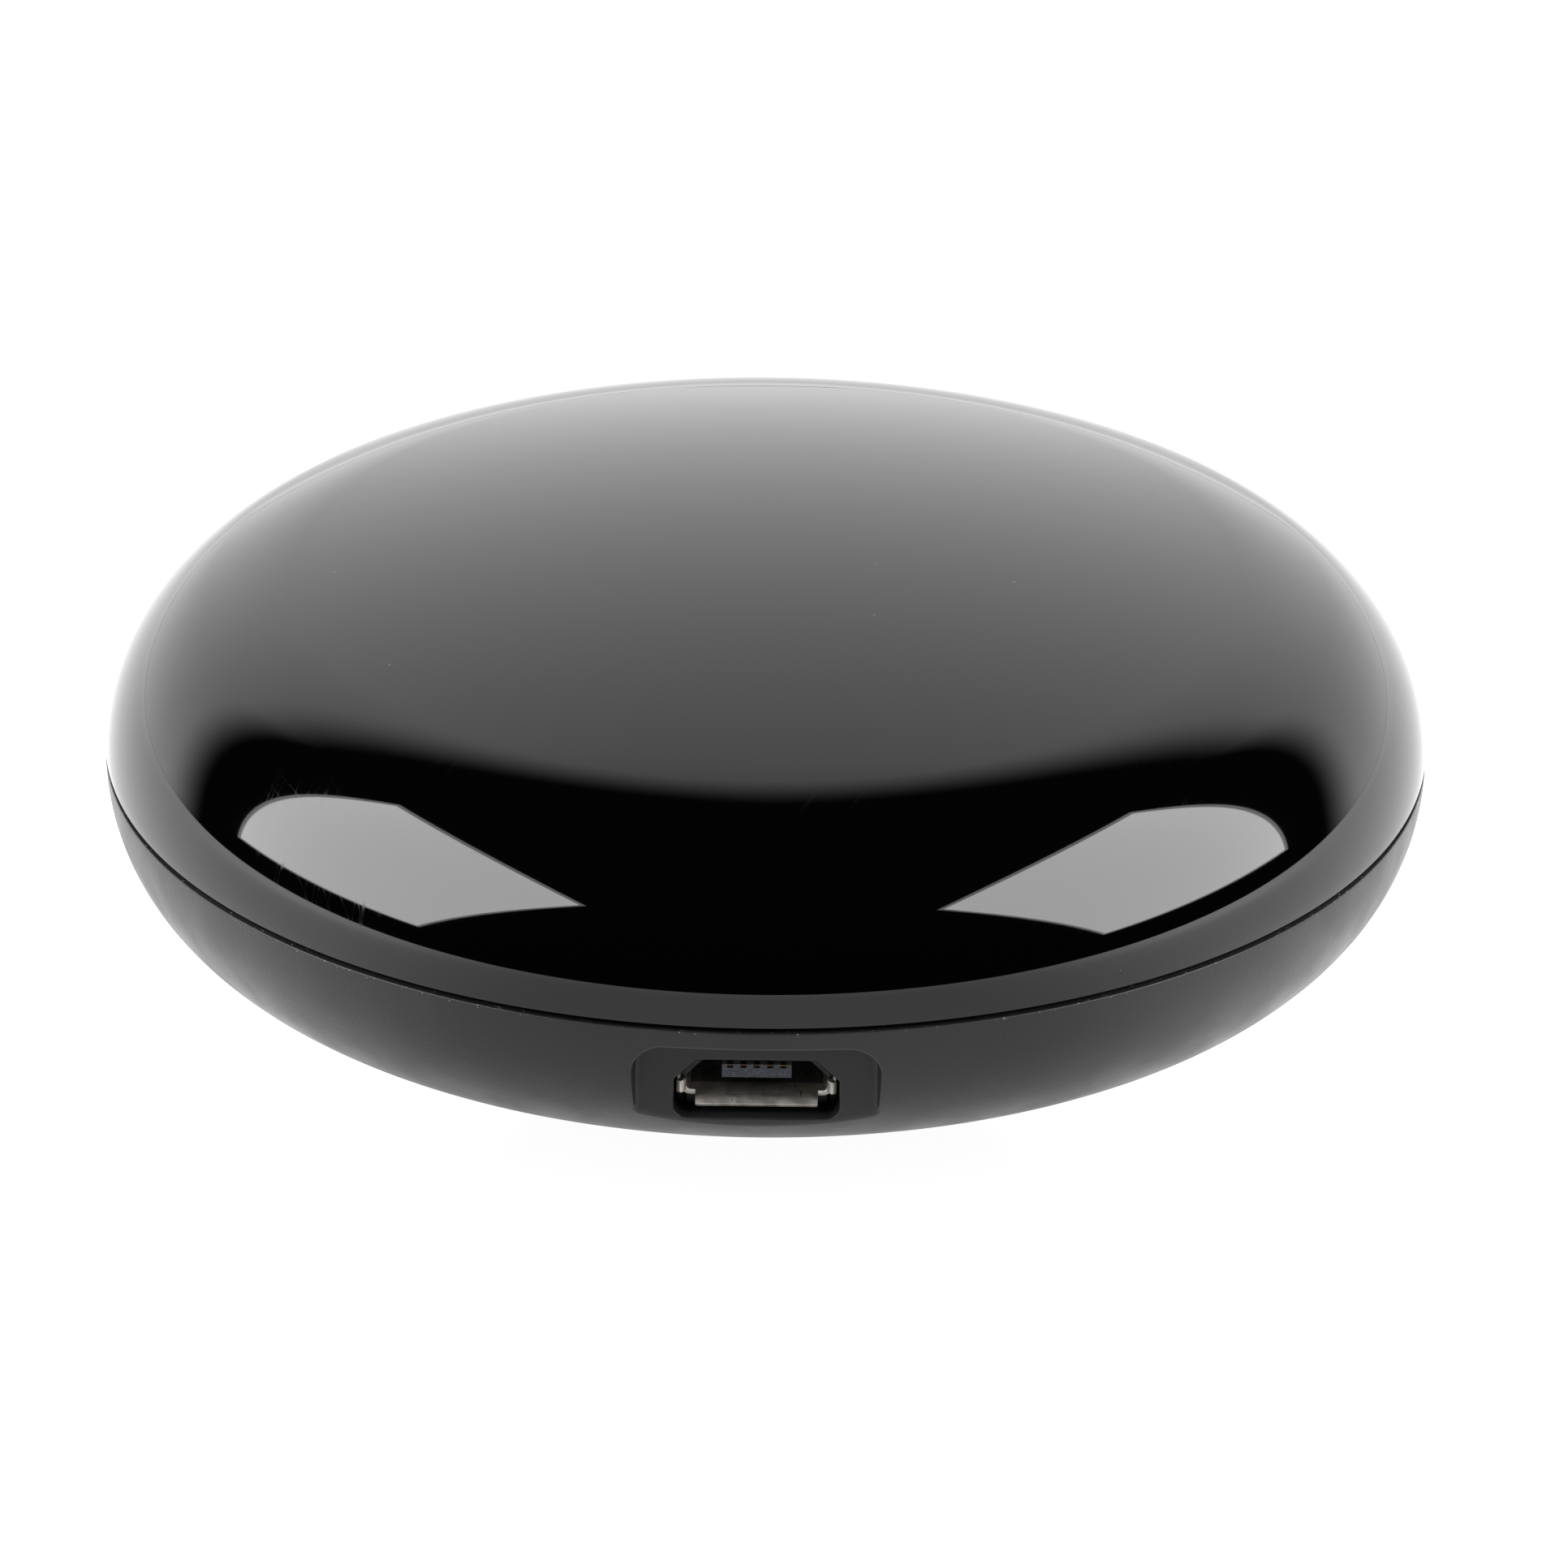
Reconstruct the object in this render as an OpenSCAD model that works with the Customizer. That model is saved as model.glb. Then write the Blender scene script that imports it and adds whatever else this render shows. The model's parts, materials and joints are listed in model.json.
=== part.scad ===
// Puck-shaped USB-powered infrared hub, millimetres.
// +Z is up, the table is z = 0, the micro-USB port faces -Y.

/* [Casing] */
// Diameter at the seam
body_d = 66; // [60:1:80]
// Edge radius of the top cover
top_edge_r = 8.5; // [7:0.1:10.5]
// Edge radius of the base shell
base_edge_r = 9.15; // [8:0.05:11]
// Radius of the blend between an edge and a crown
blend_r = 20; // [16:1:26]
// Angle above the seam plane where the edge ends and the blend starts
edge_angle = 65; // [60:1:68]
// Angle above the seam plane where the blend ends and the crown starts
crown_angle = 78; // [75:0.5:81]
// Wall thickness of both shells
wall_t = 1.8; // [1.5:0.1:2.2]
// Diameter of the flat underside
underside_d = 40; // [36:1:44]
// Open gap between the two shells at the seam
seam_gap = 0.3; // [0.2:0.05:0.5]
// Height of the locating tongue above the seam
tongue_h = 1.4; // [1:0.1:2]
// Radial clearance of the tongue in its groove
tongue_clear = 0.1; // [0.05:0.05:0.2]
// Chamfer on the outer edges at the seam
seam_chamfer = 0.12; // [0.05:0.01:0.2]

/* [Snap hooks] */
// Number of hooks
hook_count = 4; // [4:1:6]
// Width of a hook
hook_w = 5; // [4:0.5:7]
// Radial thickness of a hook's arm
hook_t = 1; // [0.8:0.1:1.4]
// How far a hook's barb reaches out
barb_reach = 0.5; // [0.3:0.1:0.7]
// Clearance around a hook
hook_clear = 0.1; // [0.05:0.05:0.2]

/* [Foot] */
// Outer diameter of the foot ring
foot_od = 37; // [34:1:38]
// Inner diameter of the foot ring
foot_id = 29; // [24:1:31]
// How far the foot ring stands out of the underside
foot_proud = 0.6; // [0.4:0.1:1]
// Depth of the foot ring's groove
foot_groove = 0.4; // [0.3:0.1:0.6]

/* [Port] */
// Width of the pocket around the port
pocket_w = 12.2; // [11.6:0.1:13]
// Depth of the pocket's flat face inside the largest radius
pocket_depth = 2.44; // [2.2:0.02:2.6]
// Distance from the seam down to the pocket's top
pocket_drop = 1.08; // [0.9:0.02:1.3]
// Corner radius of the pocket
pocket_r = 1.8; // [1.2:0.1:2]
// Thickness of the wall behind the pocket
port_wall = 1.36; // [1.2:0.02:1.5]
// Clearance at each side of the receptacle in that wall's slot
slot_side_clear = 0.325; // [0.2:0.025:0.5]
// Clearance above the receptacle in the slot
slot_top_clear = 0.05; // [0.03:0.01:0.2]
// Room below the receptacle in the slot, for its flared lip
slot_lip_room = 0.67; // [0.5:0.01:0.8]
// Distance from the seam down to the port's centre
port_drop = 4; // [3.9:0.05:4.2]
// Inside width of the receptacle
usb_w = 6.9; // [6.85:0.05:6.95]
// Inside height of the receptacle
usb_h = 1.85; // [1.8:0.05:1.9]
// Sheet thickness of the receptacle's shell
usb_t = 0.275; // [0.25:0.025:0.3]
// Depth of the receptacle from its mouth
usb_depth = 5; // [4.8:0.1:5.4]
// Distance from the pocket's face back to the receptacle's mouth
usb_setback = 0.72; // [0.5:0.02:0.8]

/* [Circuit board] */
// Diameter of the board
pcb_d = 53; // [50:0.5:53.5]
// Thickness of the board
pcb_t = 1.2; // [1:0.1:1.4]
// Width of the board's tab under the port
tab_w = 10; // [9.4:0.2:10.4]
// Distance from the board's edge in to the screws
screw_edge = 3.9; // [3.3:0.2:4.5]
// Nominal diameter of the screws
screw_d = 2; // [1.8:0.1:2.2]

/* [Reset button] */
// Diameter of the button
button_d = 4; // [3:0.5:6]
// Radial clearance of the button in its hole
button_clear = 0.15; // [0.1:0.05:0.25]
// Travel of the button
button_travel = 0.3; // [0.2:0.05:0.4]
// Distance of the button behind the centre
button_y = 6; // [0:0.5:8]

/* [Infrared] */
// Number of emitters
emitter_count = 7; // [5:1:7]
// Diameter of an emitter's lens
emitter_d = 5; // [4:0.5:5]
// Upward tilt of an emitter
emitter_tilt = 25; // [15:1:35]
// Angle between neighbouring emitters
emitter_step = 40; // [38:1:42]

/* [Hidden] */
$fn = 96;
eps = 0.01;

// Casing
body_r = body_d / 2;
function dir(a) = [cos(a), sin(a)];
// Centres and crown radius of a shell's three arcs, in a half plane with the seam at height 0
function edge_centre(edge_r) = [body_r - edge_r, 0];
function blend_centre(edge_r) = edge_centre(edge_r) + (edge_r - blend_r) * dir(edge_angle);
function crown_r(edge_r) = blend_r + blend_centre(edge_r)[0] / cos(crown_angle);
function crown_centre(edge_r) =
    [0, blend_centre(edge_r)[1] + (blend_r - crown_r(edge_r)) * sin(crown_angle)];
// Height of a crown arc above the seam at a radius
function crown_height(edge_r, at_r) =
    crown_centre(edge_r)[1] + sqrt(pow(crown_r(edge_r), 2) - at_r * at_r);
// Radius of an edge arc at a distance from the seam, for a surface that lies inset in the wall
function edge_radius(edge_r, from_seam, inset) =
    body_r - edge_r + sqrt(pow(edge_r - inset, 2) - from_seam * from_seam);
base_depth = crown_height(base_edge_r, underside_d / 2);
seam_z = base_depth + foot_proud;
floor_z = foot_proud + wall_t;
tongue_r = body_r - wall_t / 2;
groove_extra_h = 0.1;

// Port, with heights measured from the table
pocket_y = body_r - pocket_depth;
port_inner_y = pocket_y - port_wall;
port_z = seam_z - port_drop;
slot_chamfer = 1.1;
slot_corner_r = 0.65;
mouth_y = pocket_y - usb_setback;
usb_outer_w = usb_w + 2 * usb_t;
usb_outer_h = usb_h + 2 * usb_t;
slot_w = usb_outer_w + 2 * slot_side_clear;
slot_h = usb_outer_h + slot_top_clear + slot_lip_room;
slot_drop = (slot_lip_room - slot_top_clear) / 2;
usb_bevel = 0.8;
port_block_w = pocket_w + 4;

// Circuit board
pcb_top_z = port_z - usb_outer_h / 2;
pcb_z = pcb_top_z - pcb_t;
pcb_edge_clear = 0.2;
tab_y = port_inner_y - pcb_edge_clear;
relief_w = tab_w + 2 * pcb_edge_clear;
screw_circle_r = pcb_d / 2 - screw_edge;
screw_angles = [30, 150, 236];
screw_hole_clear = 0.2;
screw_fit_clear = 0.02;
boss_r = screw_d / 2 + 1.5;
screw_head_r = 0.95 * screw_d;
screw_head_h = 0.65 * screw_d;
screw_l = 3.4;
thread_depth = 0.18;
thread_pitch = 0.4;

// Reset button and switch, from the floor of the base up to the underside of the board
button_flange_r = button_d / 2 + 0.9;
button_flange_t = 0.4;
button_recess = 0.4;
button_dish_r = button_d / 2 + 2;
button_dish_t = 0.25;
stem_r = 0.9;
switch_w = 4.2;
switch_h = 1.2;
switch_frame_t = 0.15;
stem_bottom_z = floor_z + button_flange_t;
switch_bottom_z = pcb_z - switch_h;

// Infrared parts
emitter_first_angle = 90 - emitter_step * (emitter_count - 1) / 2;
emitter_flange_r = emitter_d / 2 + 0.4;
emitter_flange_t = 1;
emitter_barrel_l = 5.6;
emitter_base_r = 18.4;
emitter_base_z = pcb_top_z + 4.2;
lead_pitch = 2.54;
lead_r = 0.25;
lead_run = 1.2;
lead_below = 1;
lead_hole_r = 0.4;
receiver_angle = 304;
receiver_r = 19;

// Parts on the board
module_w = 16;
module_l = 24;
module_t = 0.8;
module_y = 1;
shield_w = 12.4;
shield_l = 15.2;
shield_h = 2.3;
shield_wall = 0.2;
pad_t = 0.04;
solder_t = 0.1;

// ---------- Shared shapes ----------

// One arc of a shell's profile: the sector between two angles, which leans into the next one
module sector(centre, r, from_angle, to_angle) {
    middle = (from_angle + to_angle) / 2;
    reach = 1.2 * r / cos((to_angle - from_angle) / 2);
    lean = 3;
    end = centre + r * dir(to_angle);
    intersection() {
        translate(centre) circle(r);
        polygon([
            centre,
            centre + reach * dir(from_angle),
            centre + reach * dir(middle),
            end + (reach - r) * dir(to_angle - lean),
            end - r * dir(to_angle - lean)
        ]);
    }
}

// Half profile of a shell's filled shape, as far as a height from the seam
module half_dome(edge_r, inset, height) {
    intersection() {
        union() {
            sector(edge_centre(edge_r), edge_r - inset, 0, edge_angle);
            sector(blend_centre(edge_r), blend_r - inset, edge_angle, crown_angle);
            sector(crown_centre(edge_r), crown_r(edge_r) - inset, crown_angle, 90);
        }
        square([body_r + 1, height]);
    }
}

// Stands a shape drawn in X and Z along +Y
module along_y(l) {
    translate([0, l, 0]) rotate([90, 0, 0]) linear_extrude(l) children();
}

module block(size, at = [0, 0, 0]) {
    translate([at[0] - size[0] / 2, at[1] - size[1] / 2, at[2]]) cube(size);
}

module around(angle, r = 0) {
    rotate([0, 0, angle]) translate([r, 0, 0]) children();
}

module at_screws() {
    for (a = screw_angles) around(a, screw_circle_r) children();
}

module at_hooks() {
    for (i = [0 : hook_count - 1]) around(180 / hook_count + 360 / hook_count * i) children();
}

module at_emitters() {
    for (i = [0 : emitter_count - 1]) around(emitter_first_angle + emitter_step * i) children();
}

// ---------- Casing ----------

hook_arm_r = edge_radius(base_edge_r, 2.1, wall_t) - 0.75;
catch_z = seam_z - 1.75;
catch_t = 0.7;
hook_foot_z = catch_z - 1;
hook_bridge_z = seam_z + tongue_h + groove_extra_h + 0.15;
hook_bridge_t = 1.4;

module hook() {
    arm_inner_r = hook_arm_r - hook_t;
    wall_reach = 0.4;
    wall_r = edge_radius(top_edge_r, hook_bridge_z - seam_z + hook_bridge_t, wall_t);
    // Arm, bridge to the wall, and a barb with a lead-in slope
    translate([0, hook_w / 2, 0]) rotate([90, 0, 0]) linear_extrude(hook_w) polygon([
        [arm_inner_r, hook_foot_z],
        [hook_arm_r - 0.1, hook_foot_z],
        [hook_arm_r + barb_reach, catch_z - 0.5],
        [hook_arm_r + barb_reach, catch_z - hook_clear],
        [hook_arm_r, catch_z - hook_clear],
        [hook_arm_r, hook_bridge_z],
        [wall_r + wall_reach, hook_bridge_z],
        [wall_r + wall_reach, hook_bridge_z + hook_bridge_t],
        [arm_inner_r, hook_bridge_z + hook_bridge_t]
    ]);
}

module top_cover() {
    color([0.02, 0.02, 0.022]) {
        translate([0, 0, seam_z]) rotate_extrude() difference() {
            half_dome(top_edge_r, 0, body_r);
            half_dome(top_edge_r, wall_t, body_r);
            square([body_r + 1, seam_gap / 2]);
            // Groove for the base's tongue
            square([tongue_r, tongue_h + groove_extra_h]);
            polygon([
                [body_r + eps, seam_gap / 2 - eps],
                [body_r - seam_chamfer, seam_gap / 2 - eps],
                [body_r + eps, seam_gap / 2 + seam_chamfer]
            ]);
        }
        at_hooks() hook();
    }
}

// Outline of the pocket, X across and Z up, with round top corners and an open bottom
module pocket_outline() {
    top = seam_z - pocket_drop;
    translate([-pocket_w / 2, 0]) square([pocket_w, top - pocket_r]);
    translate([-pocket_w / 2 + pocket_r, 0]) square([pocket_w - 2 * pocket_r, top]);
    for (side = [-1, 1])
        translate([side * (pocket_w / 2 - pocket_r), top - pocket_r]) circle(pocket_r);
}

// Outline of the slot, with chamfered top corners and round bottom corners
module slot_outline() {
    translate([0, port_z - slot_drop]) difference() {
        union() {
            translate([-slot_w / 2, -slot_h / 2 + slot_corner_r])
                square([slot_w, slot_h - slot_corner_r]);
            translate([-slot_w / 2 + slot_corner_r, -slot_h / 2])
                square([slot_w - 2 * slot_corner_r, slot_h]);
            for (side = [-1, 1])
                translate([side * (slot_w / 2 - slot_corner_r), -slot_h / 2 + slot_corner_r])
                    circle(slot_corner_r);
        }
        for (side = [-1, 1]) polygon([
            [side * (slot_w / 2 + eps), slot_h / 2 + eps],
            [side * (slot_w / 2 - slot_chamfer), slot_h / 2 + eps],
            [side * (slot_w / 2 + eps), slot_h / 2 - slot_chamfer]
        ]);
    }
}

module base_profile() {
    tongue_outer_r = tongue_r - tongue_clear;
    tongue_inner_r = body_r - wall_t;
    difference() {
        mirror([0, 1]) half_dome(base_edge_r, 0, base_depth);
        mirror([0, 1]) half_dome(base_edge_r, wall_t, base_depth - wall_t);
        translate([0, -seam_gap / 2]) square([body_r + 1, seam_gap]);
        polygon([
            [body_r + eps, -seam_gap / 2 + eps],
            [body_r - seam_chamfer, -seam_gap / 2 + eps],
            [body_r + eps, -seam_gap / 2 - seam_chamfer]
        ]);
        // Groove for the foot ring
        translate([foot_id / 2 - eps, -base_depth - eps])
            square([(foot_od - foot_id) / 2 + 2 * eps, foot_groove + eps]);
    }
    translate([tongue_inner_r, -wall_t])
        square([tongue_outer_r - tongue_inner_r, tongue_h + wall_t]);
}

// Solid behind the pocket, which carries its flat face
module port_block() {
    intersection() {
        translate([0, 0, seam_z]) rotate_extrude()
            mirror([0, 1]) half_dome(base_edge_r, wall_t / 2, base_depth - wall_t / 2);
        translate([-port_block_w / 2, -body_r, floor_z - wall_t / 2])
            cube([port_block_w, body_r - port_inner_y, seam_z - seam_gap / 2 - floor_z + wall_t / 2]);
    }
}

// Catch that a hook's barb snaps under
module catch() {
    width = hook_w + 1;
    intersection() {
        translate([0, 0, catch_z]) rotate_extrude() translate([hook_arm_r + hook_clear, 0])
            square([body_r - wall_t / 2 - hook_arm_r - hook_clear, catch_t]);
        translate([0, -width / 2, 0]) cube([body_r, width, seam_z]);
    }
}

module base_shell() {
    boss_base_z = floor_z - wall_t / 2;
    color([0.1, 0.1, 0.105]) difference() {
        union() {
            translate([0, 0, seam_z]) rotate_extrude() base_profile();
            port_block();
            at_hooks() catch();
            at_screws() translate([0, 0, boss_base_z]) cylinder(r = boss_r, h = pcb_z - boss_base_z);
        }
        translate([0, -body_r - 1, 0]) along_y(body_r + 1 - pocket_y) pocket_outline();
        translate([0, -pocket_y - 1, 0]) along_y(port_wall + 2) slot_outline();
        // Relief for the board's tab and the receptacle
        translate([-relief_w / 2, -port_inner_y, pcb_z - leg_below - pcb_edge_clear])
            cube([relief_w, port_inner_y - pcb_d / 2 + 6, seam_z]);
        at_screws() translate([0, 0, floor_z - wall_t / 2 + 0.2])
            cylinder(r = screw_d / 2 + screw_fit_clear, h = pcb_z);
        translate([0, button_y, 0]) {
            cylinder(r = button_d / 2 + button_clear, h = floor_z + 1);
            translate([0, 0, foot_proud - eps]) cylinder(r = button_dish_r, h = button_dish_t + eps);
        }
    }
}

module foot_ring() {
    edge = 0.15;
    color([0.06, 0.06, 0.06]) rotate_extrude() polygon([
        [foot_id / 2 + edge, 0],
        [foot_od / 2 - edge, 0],
        [foot_od / 2, edge],
        [foot_od / 2, foot_proud + foot_groove],
        [foot_id / 2, foot_proud + foot_groove],
        [foot_id / 2, edge]
    ]);
}

// ---------- Micro-USB receptacle, drawn from its mouth along +Y ----------

contact_count = 5;
contact_pitch = 0.65;
contact_w = 0.3;
contact_t = 0.12;
tongue_w = 3.4;
usb_tongue_t = 0.5;
usb_tongue_z = -0.09;
rib_h = 0.2;
usb_tongue_y = 0.2;
insulator_y = 4.1;
shell_floor_l = 1.4;
lip_l = 0.5;
lip_angle = 38;
window_x = 2.34;
window_w = 0.7;
window_y = 1.5;
window_l = 1.7;
leg_l = 1.3;
leg_t = 0.3;
leg_below = 0.3;
leg_y = [1.4, 4.1];
leg_x = usb_outer_w / 2;

module port_frame() {
    translate([0, -mouth_y, port_z]) children();
}

// D-shaped outline with bevelled top corners
module usb_outline(w, h, bevel) {
    polygon([
        [-w / 2, -h / 2], [w / 2, -h / 2], [w / 2, h / 2 - bevel],
        [w / 2 - bevel, h / 2], [-w / 2 + bevel, h / 2], [-w / 2, h / 2 - bevel]
    ]);
}

// A lip that flares from one edge of the mouth; the edge runs along X at height 0
module lip(w) {
    rotate([lip_angle, 0, 0]) translate([-w / 2, -lip_l, 0]) cube([w, lip_l + 0.15, usb_t]);
}

module usb_shell() {
    color([0.8, 0.79, 0.76]) port_frame() {
        difference() {
            along_y(usb_depth) usb_outline(usb_outer_w, usb_outer_h, usb_bevel + 0.1);
            translate([0, -1, 0]) along_y(usb_depth + 2) usb_outline(usb_w, usb_h, usb_bevel);
            // The plastic floor takes over behind the front strip
            translate([-usb_w / 2, shell_floor_l, -usb_outer_h / 2 - eps])
                cube([usb_w, usb_depth, usb_t + 2 * eps]);
        }
        translate([0, 0, -usb_outer_h / 2]) lip(usb_w - 0.8);
        for (side = [-1, 1]) translate([side * usb_outer_w / 2, 0, -0.3])
            rotate([0, -side * 90, 0]) lip(0.8);
        // Legs that pass through the board
        for (side = [-1, 1], y = leg_y)
            translate([side * leg_x - leg_t / 2, y - leg_l / 2, -usb_outer_h / 2 - pcb_t - leg_below])
                cube([leg_t, leg_l, pcb_t + leg_below + usb_outer_h / 2]);
    }
}

module at_contacts() {
    for (i = [0 : contact_count - 1])
        translate([(i - (contact_count - 1) / 2) * contact_pitch, 0, 0]) children();
}

contact_z = usb_tongue_z + usb_tongue_t;

module contact_strip() {
    tail_y = usb_depth + 0.35;
    front_y = usb_tongue_y + 0.15;
    translate([-contact_w / 2, front_y, contact_z]) cube([contact_w, tail_y - front_y, contact_t]);
    translate([-contact_w / 2, tail_y - contact_t, -usb_outer_h / 2])
        cube([contact_w, contact_t, usb_outer_h / 2 + contact_z + contact_t]);
    translate([-contact_w / 2, tail_y - contact_t, -usb_outer_h / 2])
        cube([contact_w, 0.8, contact_t]);
}

module usb_insulator() {
    rib_w = contact_pitch - contact_w;
    tongue_l = insulator_y - usb_tongue_y + eps;
    outer_rib_w = (tongue_w - contact_count * contact_pitch + rib_w) / 2;
    color([0.2, 0.22, 0.26]) port_frame() difference() {
        union() {
            // Tongue, with ribs between the contacts
            translate([-tongue_w / 2, usb_tongue_y, usb_tongue_z]) cube([tongue_w, tongue_l, usb_tongue_t]);
            for (i = [1 : contact_count - 1])
                translate([(i - contact_count / 2) * contact_pitch - rib_w / 2, usb_tongue_y, contact_z - eps])
                    cube([rib_w, tongue_l, rib_h + eps]);
            for (side = [-1, 1])
                translate([side * (tongue_w - outer_rib_w) / 2 - outer_rib_w / 2, usb_tongue_y, contact_z - eps])
                    cube([outer_rib_w, tongue_l, rib_h + eps]);
            translate([0, insulator_y, 0]) along_y(usb_depth - insulator_y)
                usb_outline(usb_w, usb_h, usb_bevel);
            translate([-usb_w / 2, shell_floor_l, -usb_outer_h / 2])
                cube([usb_w, usb_depth - shell_floor_l, usb_t]);
        }
        for (side = [-1, 1])
            translate([side * window_x - window_w / 2, window_y, -usb_outer_h / 2 + 0.05])
                cube([window_w, window_l, usb_t]);
        at_contacts() contact_strip();
    }
}

module usb_contacts() {
    color([0.85, 0.68, 0.35]) port_frame() at_contacts() contact_strip();
}

// ---------- Circuit board ----------

// A hole through the board for one of an emitter's or the receiver's leads
module lead_hole() {
    translate([0, 0, pcb_z - 1]) cylinder(r = lead_hole_r, h = pcb_t + 2);
}

module main_pcb() {
    leg_slot = [leg_t + 0.3, leg_l + 0.3, pcb_t + 2];
    color([0.07, 0.075, 0.08]) difference() {
        union() {
            translate([0, 0, pcb_z]) cylinder(d = pcb_d, h = pcb_t);
            translate([-tab_w / 2, -tab_y, pcb_z]) cube([tab_w, tab_y, pcb_t]);
        }
        at_screws() translate([0, 0, pcb_z - 1])
            cylinder(r = screw_d / 2 + screw_hole_clear, h = pcb_t + 2);
        at_emitters() for (side = [-1, 1])
            translate([emitter_base_r - lead_run, side * lead_pitch / 2, 0]) lead_hole();
        around(receiver_angle, receiver_r - 1.2) for (i = [-1 : 1])
            translate([0, i * lead_pitch, 0]) lead_hole();
        for (side = [-1, 1], y = leg_y)
            block(leg_slot, [side * leg_x, y - mouth_y, pcb_z - 1]);
    }
}

module annulus(outer_r, inner_r, h) {
    difference() {
        cylinder(r = outer_r, h = h);
        translate([0, 0, -1]) cylinder(r = inner_r, h = h + 2);
    }
}

// Bare copper that shows through the solder mask
module pcb_pads() {
    color([0.83, 0.66, 0.36]) translate([0, 0, pcb_top_z]) {
        at_screws() annulus(2.3, 1.5, pad_t);
        at_emitters() for (side = [-1, 1])
            translate([emitter_base_r - lead_run, side * lead_pitch / 2, 0])
                annulus(0.75, lead_hole_r, pad_t);
        around(receiver_angle, receiver_r - 1.2) for (i = [-1 : 1])
            translate([0, i * lead_pitch, 0]) annulus(0.75, lead_hole_r, pad_t);
        // Test points
        for (i = [0 : 4]) translate([-13.2, -0.5 + 2 * i, 0]) cylinder(r = 0.6, h = pad_t);
    }
}

module screw() {
    shank_r = screw_d / 2;
    root_r = shank_r - thread_depth;
    turns = floor((screw_l - pcb_t - 0.3) / thread_pitch);
    difference() {
        union() {
            // Shank with thread ridges and a pointed end
            rotate_extrude() polygon(concat(
                [[0, 0], [shank_r, 0], [shank_r, -pcb_t]],
                [for (i = [0 : turns - 1]) each [
                    [root_r, -pcb_t - thread_pitch * (i + 0.2)],
                    [shank_r, -pcb_t - thread_pitch * (i + 0.6)],
                    [root_r, -pcb_t - thread_pitch * (i + 0.9)]
                ]],
                [[0.3, -screw_l], [0, -screw_l]]
            ));
            // Pan head with a domed top
            intersection() {
                cylinder(r = screw_head_r, h = screw_head_h);
                translate([0, 0, screw_head_h - 2.6]) sphere(r = 2.6);
            }
        }
        for (a = [0, 90]) rotate([0, 0, a])
            block([screw_head_r * 1.2, 0.4, 1], [0, 0, screw_head_h - 0.65]);
    }
}

module pcb_screws() {
    color([0.72, 0.72, 0.7]) at_screws() translate([0, 0, pcb_top_z + pad_t]) screw();
}

// ---------- Reset button ----------

module at_button() {
    translate([0, button_y, 0]) children();
}

module reset_button_cap() {
    face_z = foot_proud + button_recess;
    edge = 0.2;
    color([0.09, 0.09, 0.09]) at_button() rotate_extrude() polygon([
        [0, face_z + 0.15],
        [button_d / 2 - 0.9, face_z],
        [button_d / 2 - edge, face_z],
        [button_d / 2, face_z + edge],
        [button_d / 2, floor_z],
        [button_flange_r, floor_z],
        [button_flange_r, stem_bottom_z],
        [0, stem_bottom_z]
    ]);
}

stem_top_z = switch_bottom_z + 0.45;

module reset_switch_stem() {
    color([0.12, 0.12, 0.12]) at_button() translate([0, 0, stem_bottom_z])
        cylinder(r = stem_r, h = stem_top_z - stem_bottom_z);
}

module reset_switch_body() {
    inner = switch_w - 2 * switch_frame_t;
    well_h = stem_top_z + button_travel + 0.1 - switch_bottom_z;
    color([0.08, 0.08, 0.08]) at_button() difference() {
        block([inner, inner, switch_h - switch_frame_t], [0, 0, switch_bottom_z + switch_frame_t]);
        translate([0, 0, switch_bottom_z]) cylinder(r = stem_r + 0.15, h = well_h);
    }
}

// Steel cover that wraps the switch's body, open towards the board
module reset_switch_frame() {
    inner = switch_w - 2 * switch_frame_t;
    color([0.75, 0.75, 0.73]) at_button() difference() {
        block([switch_w, switch_w, switch_h - 0.3], [0, 0, switch_bottom_z]);
        block([inner, inner, switch_h], [0, 0, switch_bottom_z + switch_frame_t]);
        translate([0, 0, switch_bottom_z - 1]) cylinder(r = stem_r + 0.15, h = 2);
    }
}

module reset_switch_terminals() {
    color([0.78, 0.77, 0.74]) at_button() for (x = [-1, 1], y = [-1, 1])
        block([1, 0.7, 0.2], [x * (switch_w / 2 + 0.5), y * 1.1, pcb_z - 0.2]);
}

// ---------- Radio module ----------

module_z = pcb_top_z + pad_t;
shield_y = module_y - 2.6;
joint_pitch = 2;
joint_rows = 8;

module module_board() {
    color([0.03, 0.09, 0.2]) difference() {
        block([module_w, module_l, module_t], [0, module_y, module_z]);
        at_joints() translate([0, 0, module_z - 1]) cylinder(r = 0.35, h = module_t + 2);
    }
}

module at_joints() {
    for (side = [-1, 1], i = [0 : joint_rows - 1])
        translate([side * module_w / 2, shield_y + (i - (joint_rows - 1) / 2) * joint_pitch, 0])
            children();
}

// Solder in the module's edge half holes
module module_joints() {
    color([0.8, 0.8, 0.78]) at_joints() translate([0, 0, pcb_top_z])
        cylinder(r1 = 0.34, r2 = 0.3, h = pad_t + module_t);
}

module module_shield() {
    color([0.78, 0.78, 0.76]) translate([0, 0, module_z + module_t]) difference() {
        block([shield_w, shield_l, shield_h], [0, shield_y, 0]);
        block([shield_w - 2 * shield_wall, shield_l - 2 * shield_wall, shield_h - shield_wall],
              [0, shield_y, 0]);
        // Bevels along the four top edges
        for (side = [-1, 1]) {
            translate([side * shield_w / 2, shield_y, shield_h]) rotate([0, 45, 0])
                cube([0.5, shield_l + 1, 0.5], center = true);
            translate([0, shield_y + side * shield_l / 2, shield_h]) rotate([45, 0, 0])
                cube([shield_w + 1, 0.5, 0.5], center = true);
        }
    }
}

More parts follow.
